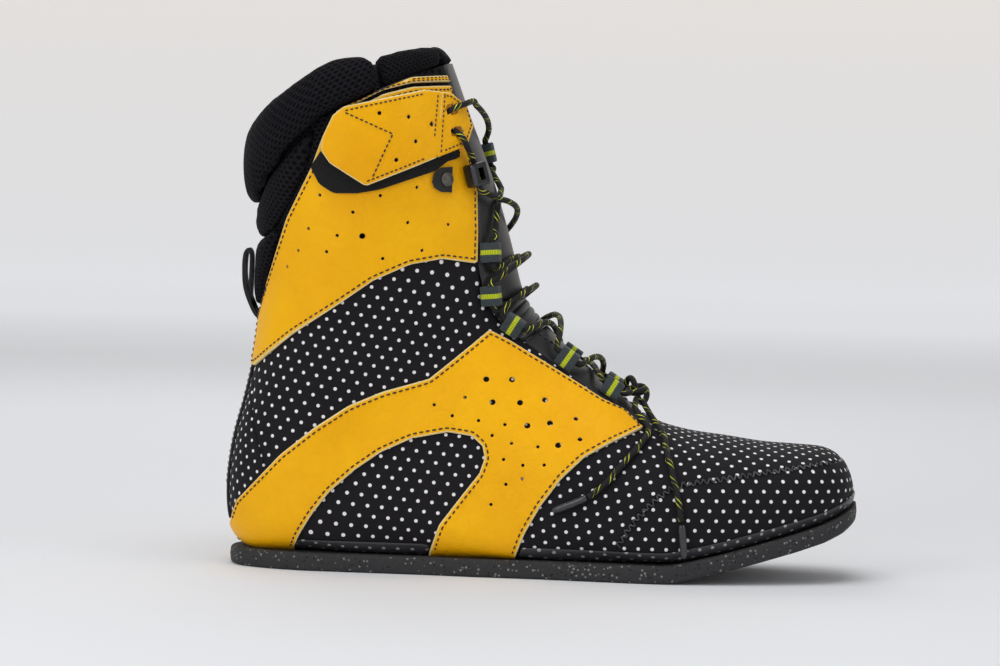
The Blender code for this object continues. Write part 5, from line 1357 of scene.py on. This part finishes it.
loopArea = [(39.6, 181), (43.5, 173.5), (49.6, 169.6), (60, 169.8), (69.7, 171.7), (92, 180), (97.5, 184.5),
            (102, 186), (102, 190), (90.5, 191.5), (89, 210), (84, 212), (70, 209.5), (57.5, 202.5), (50.5, 197.5),
            (46.2, 191.5)]
tab = {"rear": [(83, 182), (63.5, 173.4), (59.4, 176), (48.9, 182.9), (45.2, 188.5), (45.6, 194.2), (49.6, 204.1),
                (53.7, 207.9), (84.7, 215.2)],
       "front": [(94.4, 213.9), (100.9, 208.4), (104.0, 199), (102.5, 190.7)],
       "fold": [(90.8, 214.4), (91.0, 185.6)],
       "holes": [(95.3, 206.6), (98.0, 196.6)],
       "vents": [(68.0, 205.0, 0.95), (79.3, 203.4, 0.95), (88.3, 200.3, 1.2), (82.6, 192.9, 0.95), (75.4, 184.9, 0.95)],
       "chevron": [(54.3, 205.3), (73.5, 196.0), (66.1, 177.3)],
       "height": 5.2}

def makeTab():
    whole = tab["rear"] + [tab["fold"][0]] + tab["front"] + [tab["fold"][1]]
    rear, front = tab["rear"] + tab["fold"], tab["front"] + tab["fold"][::-1]
    low = tab["height"]
    vents = [(x, z, r, r, 0.0) for x, z, r in tab["vents"]]
    flap = laidSheet("pullTab", rear, -1, low, low + hide, [hidePlain, hideEdge], body="pull_tab_flap", edge=whole,
                     holes=vents, groove=(1.7, 0.14), soft=0.7, start=0.5, ringStep=0.09, turnStep=0.1)
    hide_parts("pull_tab")
    holes = [(x, z, 2.8, 2.8, 0.0) for x, z in tab["holes"]]
    base = laidSheet("pullTabBase", front, -1, low, low + hide, [hidePlain, hideEdge], edge=whole, holes=holes,
                     groove=(1.7, 0.14), soft=0.7, start=0.5, ringStep=0.08, turnStep=0.08)
    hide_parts("pull_tab_base")
    for piece, name, body in ((flap, "pullTab", "pull_tab_flap"), (base, "pullTabBase", "boot")):
        stitches = []

        def offFold(p):
            # stitches stay off the fold and off the tab's plain tail behind the chevron
            x, z = p[0] + middleX, p[2]
            (ax, az), (bx, bz), (cx, cz) = tab["chevron"]
            edgeX = np.interp(z, [cz, bz, az], [cx, bx, ax])
            return abs(x - 90.9) > 2.3 and x > edgeX - 1.5
        stitchedEdge(name, stitches, inset=1.8, pitch=2.2, radius=0.32, keep=offFold)
        if name == "pullTab":
            top = low + hide
            for a, b in zip(tab["chevron"], tab["chevron"][1:]):
                ends = np.array([a, b])
                stitchedLine([a, tuple(ends.mean(0)), b], stitches, top, 2.2, 0.32)
        seam = merged(name + "Stitching", stitches, thread, body)
    patch = laidSheet("loopTape", loopArea, -1, gap * 2 + hide, gap * 2 + hide + 1.2, pile, soft=0.4)
    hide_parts("loop_patch")


def frameAt(origin, along, normal):
    z = Vector(normal).normalized()
    x = Vector(along)
    x = (x - x.dot(z) * z).normalized()
    matrix = Matrix((x, z.cross(x), z)).transposed().to_4x4()
    matrix.translation = Vector(origin)
    return matrix


def way(x, z, degrees, side):
    turn = math.radians(degrees)
    here, there = over([(x, z), (x + math.cos(turn), z + math.sin(turn))], 0.0, side)
    at = findMany([(x, z)], side)
    normal = outward(at[:, 0], at[:, 1])[0]
    along = there - here
    along -= along.dot(normal) * normal
    return here, along / np.linalg.norm(along), normal


rivet = {"at": (96.9, 176.6), "radius": 3.15, "seat": 3.5}
lock = {"at": (107.2, 178.2), "way": (-0.35, 0, 1), "size": 10.5, "lift": 0.6, "wall": 1.1}


def makeRivet():
    place, _, normal = way(*rivet["at"], 0, -1)
    seat = frameAt(place, (0, 0, 1), normal)
    r, low = rivet["radius"], rivet["seat"]
    profile = [(0.0, low), (r - 0.1, low), (r, low + 0.12), (r, low + 0.45), (r - 0.25, low + 0.75), (r - 0.55, low + 0.8),
               (r - 0.7, low + 0.7), (r - 0.85, low + 0.8), (r - 1.4, low + 1.2), (r - 2.2, low + 1.42), (0.0, low + 1.48)]
    sides, spots, faces = 40, [], []
    for radius, height in profile:
        spots += [seat @ Vector((radius * math.cos(2 * math.pi * k / sides), radius * math.sin(2 * math.pi * k / sides),
                                 height))
                  for k in range(sides)]
    for row in range(len(profile) - 1):
        faces += [(row * sides + k, row * sides + (k + 1) % sides, (row + 1) * sides + (k + 1) % sides,
                   (row + 1) * sides + k)
                  for k in range(sides)]
    piece = makePiece("rivetHead", spots, faces, rivetMetal, sharp=50)
    work = bmesh.new()
    work.from_mesh(piece.data)
    bmesh.ops.remove_doubles(work, verts=work.verts, dist=0.000005)
    bmesh.ops.recalc_face_normals(work, faces=work.faces)
    work.to_mesh(piece.data)
    work.free()
    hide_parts("lock_rivet")


tape = {"line": [(-14, 20), (8, 20), (26, 60), (26, 110.6), (-14, 110.6)], "half": 4.8}
pullLoop = {"width": 10.0, "outer": [(12.3, 113.0), (8.9, 118.4), (8.7, 127), (8.9, 134), (8.7, 141), (6.9, 143.6),
                                     (4.6, 141),
                                      (4.1, 134), (5.0, 124.6), (8.6, 115.4), (11.2, 111.8)],
            "gap": [(7.2, 124.4), (7.1, 126), (7.3, 129), (7.4, 134), (7.4, 140.4), (6.9, 141.6), (6.2, 140.4), (5.8, 134),
                    (6.2, 128), (6.8, 124.8), (7.0, 124.2)]}


def stripBand(name, outer, inner, width, matrix, material, body, mapName="tapeMap", across=0.35):
    # a folded tape: an outline with a hole, across the tape's width, with its selvedges rounded off
    outer, inner = np.asarray(outer, float), np.asarray(inner, float)
    count = len(outer)
    levels = [(-width / 2, across), (-width / 2 + 0.3, 0.06), (-width / 2 + 0.7, 0.0), (width / 2 - 0.7, 0.0),
              (width / 2 - 0.3, 0.06), (width / 2, across)]
    spots, faces, maps = [], [], []
    toward = (inner - outer)
    toward /= np.maximum(np.linalg.norm(toward, axis=1, keepdims=True), 1e-6)
    run = np.concatenate([[0], np.cumsum(np.linalg.norm(np.diff(np.concatenate([outer, outer[:1]]), axis=0), axis=1))])
    for y, inset in levels:
        for ring, sign in ((outer, 1), (inner, -1)):
            spots += [tuple(matrix @ Vector((x, y, z))) for x, z in ring + toward * inset * sign]
    rows = len(levels)
    for row in range(rows - 1):
        for part in (0, 1):
            for k in range(count):
                n = (k + 1) % count
                a, b = (row * 2 + part) * count, ((row + 1) * 2 + part) * count
                faces.append((a + k, a + n, b + n, b + k))
                y0, y1 = levels[row][0], levels[row + 1][0]
                maps.append([(run[k], y0), (run[k + 1], y0), (run[k + 1], y1), (run[k], y1)])
    for row in (0, rows - 1):
        for k in range(count):
            n = (k + 1) % count
            a, b = row * 2 * count, (row * 2 + 1) * count
            faces.append((a + k, a + n, b + n, b + k))
            y = levels[row][0]
            maps.append([(run[k], y), (run[k + 1], y), (run[k + 1], y), (run[k], y)])
    return mappedPiece(name, spots, faces, maps, material, body, mapName, 55)


def matchedLoops(outer, inner, count):
    # two closed outlines with the same number of points, each pair facing across the tape
    made = []
    for points in (outer, inner):
        line, _ = evenLine([(x, z, 0) for x, z in points], 0.2, closed=True)
        run = np.linspace(0, 1, len(line))
        made.append(np.stack([np.interp(np.linspace(0, 1, count, endpoint=False), run, line[:, k]) for k in (0, 1)], 1))
    return made


def makeHeel():
    piece = laidSheet("backTape", tape["line"], 0, gap, gap + 0.9, darkTape, soft=0.5, turns=(0, 2 * sideCount),
                      clips=(), ringStep=0.1, turnStep=0.08, limit=tape["half"])
    layer = piece.data.uv_layers.new(name="tapeMap")
    spots = np.array([tuple(piece.data.vertices[l.vertex_index].co) for l in piece.data.loops]) / mm
    layer.data.foreach_set("uv", np.stack([spots[:, 2], spots[:, 1]], 1).ravel())
    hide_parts("back_tape")
    outer = [(x - middleX, z) for x, z in pullLoop["outer"]]
    inner = [(x - middleX, z) for x, z in pullLoop["gap"]]
    outer, inner = matchedLoops(outer, inner, 90)
    piece = stripBand("heelPullLoop", outer, inner, pullLoop["width"] - 0.3, Matrix.Identity(4), darkTape, "heel_loop")
    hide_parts("heel_pull_loop")
    # silver zigzag stitching holds the tape down
    stitches = []
    for y in (-3.3, 3.3):
        z = 36.0
        while z < 108:
            rows = []
            for up in (z, z + 1.9):
                away = np.abs(tableP[:, 2] - up) + np.abs(tableP[:, 1] - y) * 3 + (tableP[:, 0] > -90) * 99
                k = away.argmin()
                at = nearestMany([(tableP[k, 0], y, up)])
                rows.append((offSkin(at[:, 0], at[:, 1], gap + 0.85)[0], outward(at[:, 0], at[:, 1])[0]))
            stitches.append(stitchShape(rows[0][0], rows[1][0], rows[0][1], 0.34, 0.25))
            z += 2.7
    piece = merged("backTapeStitching", stitches, silverThread)


lacing = {
    "diameter": 2.8, "loopRoom": 2.0, "longer": 1.3, "lift": 0.8, "width": 9.0, "thick": 0.9, "reach": 9.5,
    "loops": [((112.9, 144.0), 0), ((113.6, 124.4), 8), ((126.4, 107.2), 58), ((150.8, 93.0), 58), ((171.6, 80.5), 66)],
    "top": ((107.8, 188.0), 5), "knot": (8.85, 0.25), "knotScale": 2.2, "knotRise": 1.3,
    "front": [(118.4, 157.0, 2.3), (118.9, 165.0, 1.9), (119.6, 172.0, 1.9)],
    "tab": [(101.5, 209.6, 8.3), (98.6, 208.4, 8.6), (95.3, 206.6, 6.2), (95.6, 204.2, 3.25), (97.2, 199.2, 3.25),
            (98.0, 196.6, 6.2), (99.4, 193.4, 8.6), (101.2, 189.8, 8.4)],
    "lockRun": [(112.8, 169.4, 5.6), (117.2, 167.2, 5.2)],
    "longLeaves": (8.62, 1.5, 2.8), "shortLeaves": (8.12, 1.2, 2.6),
    "longEnd": [(190.6, 65.6, 1.9), (186.6, 58.8, 1.9), (179.0, 50.2, 1.9), (172.4, 42.6, 1.9), (165.8, 37.6, 1.9)],
    "longTip": [(165.0, 37.2, 2.1), (158, 34.0, 2.1), (150.2, 30.8, 2.1)],
    "shortEnd": [(197.4, 63.5, 1.9), (199.6, 56.0, 1.9), (202.1, 49.1, 1.9), (205.2, 38.0, 1.9), (206.9, 28.4, 1.9)],
    "shortTip": [(207.1, 26.7, 2.1), (207.9, 18.2, 2.8), (208.2, 13.8, 3.2)],
    "lowStrand": 1.8, "highStrand": 6.5,
}


def loopShape(at, degrees, side):
    # one folded webbing loop's outline and hole, its matrix, and the lace's way through it
    place, along, normal = way(*at, degrees, side)
    room, wall, reach, low = lacing["diameter"] + lacing["loopRoom"], lacing["thick"], lacing["reach"], lacing["lift"]
    high = low + room + 2 * wall
    middle, nose = (low + high) / 2, reach - room / 2 - wall
    outline = [(0.2, low), (nose, low), (reach - 0.8, middle - 1.6), (reach, middle), (reach - 0.8, middle + 1.6),
               (nose, high), (nose - lacing["longer"], high), (0.2, low + 2.1 * wall)]
    hole = []
    for turn in (-150, -90, -45, 0, 45, 90, 135, 180):
        a = math.radians(turn)
        hole.append((nose + room / 2 * math.cos(a) - (lacing["longer"] if math.cos(a) < -0.1 else 0),
                     middle + room / 2 * math.sin(a)))
    upward = np.cross(normal, along)
    upward *= math.copysign(1.0, upward[2])
    centre = place + along * nose + normal * middle
    out = lacing["width"] / 2
    stations = ((-out - 2.7, -0.8), (-out - 1.6, 1.0), (-out + 0.8, 1.2), (0, 0.8), (out - 0.8, 1.2), (out + 1.6, 1.0),
                (out + 2.7, -0.8))
    route = [centre + upward * rise - along * back for rise, back in stations]
    return outline, hole, frameAt(place, along, normal), route, (place, along)


def makeLoop(name, node, at, degrees, side, leans):
    outline, hole, seat, route, (place, along) = loopShape(at, degrees, side)
    outer, inner = [], []
    count = 12
    for k in range(len(outline)):
        n = (k + 1) % len(outline)
        for step in range(count // 2):
            share = step / (count // 2)
            outer.append(np.array(outline[k]) * (1 - share) + np.array(outline[n]) * share)
            inner.append(np.array(hole[k]) * (1 - share) + np.array(hole[n]) * share)
    outer, inner = np.array(outer), np.array(inner)
    for _ in range(3):  # the tape's corners are folded, not creased
        outer = outer * 0.6 + 0.2 * (np.roll(outer, 1, 0) + np.roll(outer, -1, 0))
        inner = inner * 0.6 + 0.2 * (np.roll(inner, 1, 0) + np.roll(inner, -1, 0))
    piece = stripBand(name, outer, inner, lacing["width"] - 0.2, seat, webbing, None if leans else "boot")
    if leans:
        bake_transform(piece)
    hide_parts(node)
    return route


def crossing(start, end, peak):
    ends = nearestMany([start, end])
    ends[:, 1] = np.where(ends[:, 1] > sideCount, ends[:, 1] - 2 * sideCount, ends[:, 1])
    heights = np.linalg.norm(np.array([start, end]) - skin(ends[:, 0], ends[:, 1]), axis=1)
    first, last = np.append(ends[0], heights[0]), np.append(ends[1], heights[1])
    points = []
    for step in (0.14, 0.32, 0.5, 0.68, 0.86):
        ring, turn, height = first + (last - first) * step
        share = math.sin(math.pi * step) ** 0.5
        points.append(offSkin(np.array([ring]), np.array([turn]), [height + (peak - height) * share])[0])
    return points


def laceTube(name, route, radius, body, material=None, closed=False, bulge=None):
    spots, faces, maps = roundTube(route, radius, 0.7, 14, closed, bulge)
    return mappedPiece(name, spots, faces, maps, material or lace, body, "laceMap", 70)


def makeCords():
    # the two free ends of the lace, from the knot to their tips
    knotAt = np.array([lacing["knot"]])
    centre = offSkin(knotAt[:, 0], knotAt[:, 1], [2 * gap + hide + 1.4 + lacing["knotScale"] * lacing["knotRise"]])[0]
    reach = 3 * lacing["knotScale"] + 1.4 + gap
    for word, leaves, line, tip in (("Long", "longLeaves", "longEnd", "longTip"),
                                    ("Short", "shortLeaves", "shortEnd", "shortTip")):
        ring, turn, height = lacing[leaves]
        first = offSkin(np.array([ring]), np.array([turn]), [height])[0]
        out = first - centre
        route = [centre + out / np.linalg.norm(out) * reach, first] + list(over(lacing[line]))
        path, length = evenLine(route, 3.0)
        node = word.lower()
        end = laceTube("laceEnd" + word, route, 1.38, "boot")
        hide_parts("lace_end_" + node)
        tipLine = over(lacing[tip])
        cap = laceTube("aglet" + word, tipLine, 1.66, "boot", aglet,
                       bulge=lambda s: 0.9 + 0.1 * min(1.0, 12 * s) if s < 0.5 else 0.62 + 0.38 * min(1.0, 9 * (1 - s)))
        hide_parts("aglet_" + node)
        [tuple(p * mm) for p in path]
        print("free end", word, round(length, 1))
    return centre, reach


def makeLacing(centre, reach):
    passes = {}
    for side, word in ((-1, "lateral"), (1, "medial")):
        for number, (at, degrees) in enumerate(lacing["loops"], 1):
            passes[side, number] = makeLoop("laceLoop%s%d" % (word.capitalize(), number),
                                            "lace_loop_%s_%d" % (word, number),
                                            at, degrees, side, number < 3)
    top = makeLoop("laceLoopMedialTop", "lace_loop_medial_top", *lacing["top"], 1, True)
    at = np.array([lacing["knot"]])
    seat = frameAt(centre, (1, 0, 0), outward(at[:, 0], at[:, 1])[0])
    knot = []
    for step in range(36):
        turn = 2 * math.pi * step / 36
        place = Vector((math.sin(turn) + 2 * math.sin(2 * turn), math.cos(turn) - 2 * math.cos(2 * turn),
                        -lacing["knotRise"] * math.sin(3 * turn)))
        knot.append(tuple(seat @ (place * lacing["knotScale"])))
    piece = laceTube("laceKnot", knot, 1.38, "boot", closed=True)
    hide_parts("lace_knot")

    def climb(side, peak, numbers, leave=True):
        route = []
        if leave:
            out = passes[side, 5][0] - centre
            route = [centre + out / np.linalg.norm(out) * reach]
        for number in numbers:
            route += passes[side, number]
            side = -side
            if number > numbers[-1]:
                route += crossing(passes[-side, number][-1], passes[side, number - 1][0], peak)
        return route

    lowPeak, highPeak = lacing["lowStrand"], lacing["highStrand"]
    first, second = climb(-1, lowPeak, (5, 4, 3, 2)), climb(1, highPeak, (5, 4, 3, 2))
    # each strand is cut inside a second loop: below it rides on the boot, and above it follows the tongue
    cutAt = 4
    lowerA, lowerB = first[:-7 + cutAt], second[:-7 + cutAt]
    upper = first[-7 + cutAt - 1:]
    upper += crossing(passes[1, 2][-1], passes[-1, 1][0], lowPeak) + passes[-1, 1]
    upper += [tuple(p) for p in over(lacing["front"])]
    upper += crossing(upper[-1], top[0], lowPeak) + top
    tabRun = [tuple(p) for p in over(lacing["tab"])]
    upper += crossing(top[-1], tabRun[0], highPeak) + tabRun
    place, _, normal = way(*lock["at"], 0, -1)
    middle = 2 * gap + hide + lock["lift"] + 1.4 + 0.7 + lock["wall"]
    bore = frameAt(place + normal * middle, lock["way"], normal)
    upper += [tuple(bore @ Vector((go, 0, 0))) for go in (lock["size"] / 2 + 1.5, 0, -lock["size"] / 2 - 1.5)]
    upper += [tuple(p) for p in over(lacing["lockRun"])]
    other = crossing(passes[-1, 2][-1], passes[1, 1][0], highPeak)
    down = passes[1, 1][::-1] + other[::-1] + second[-7 + cutAt - 1:][::-1]
    upper += crossing(upper[-1], passes[1, 1][-1], highPeak) + down
    for name, route in (("laceInstepOne", lowerA), ("laceInstepTwo", lowerB)):
        piece = laceTube(name, route, 1.38, "boot")
        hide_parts("lace")
    piece = laceTube("laceShin", upper, 1.38, None)
    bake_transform(piece)
    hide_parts("lace")


def makeThreads():
    # a zigzag of glossy black thread closes the toe seam
    line = smoothRows([p for p in toeSeam if p[1] > 15][:7], np.linspace(0, 6, 60))
    parts = []
    for side in (-1, 1):
        flat = np.stack([line[:, 0], line[:, 1]], 1)
        keep = flat[:, 0] < 283
        at = findMany(flat[keep], side)
        base, normal = offSkin(at[:, 0], at[:, 1], 0.0), outward(at[:, 0], at[:, 1])
        run = np.concatenate([[0], np.cumsum(np.linalg.norm(np.diff(base, axis=0), axis=1))])
        count = int(run[-1] / 1.5)
        route = []
        for k in range(count):
            s = (k + 0.5) * run[-1] / count
            spot = np.array([np.interp(s, run, base[:, c]) for c in range(3)])
            j = int(np.clip(np.searchsorted(run, s), 1, len(run) - 2))
            ahead = base[j + 1] - base[j - 1]
            across = np.cross(normal[j], ahead / np.linalg.norm(ahead))
            wave = (1.2 if k % 2 else -1.0) * (1 + 0.25 * math.sin(k * 1.7))
            route.append(spot + across * wave + normal[j] * (0.35 + 0.15 * math.sin(k * 2.3)))
        spots, faces, _ = roundTube(route, 0.36, 0.6, 6)
        parts.append((spots, faces, 0))
    piece = merged("toeSeamThread", parts, blackThread)


foot, kneeRoom = makeCords()
print("cords laid")
makeSole()
makeUpper()
makeFilm()
print("sole and upper done")
makeLeather()
print("leather done")
makeTab()
makeRivet()
makeHeel()
print("closure done")
makeTongue()
makeLacing(foot, kneeRoom)
print("tongue and lacing done")
makeThreads()
makeCollar()
print("collar done")
for nodeName, finish in cadFinish.items():
    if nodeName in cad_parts:
        for place in range(len(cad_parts[nodeName].data.materials)):
            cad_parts[nodeName].data.materials[place] = finish
bpy.context.view_layer.update()
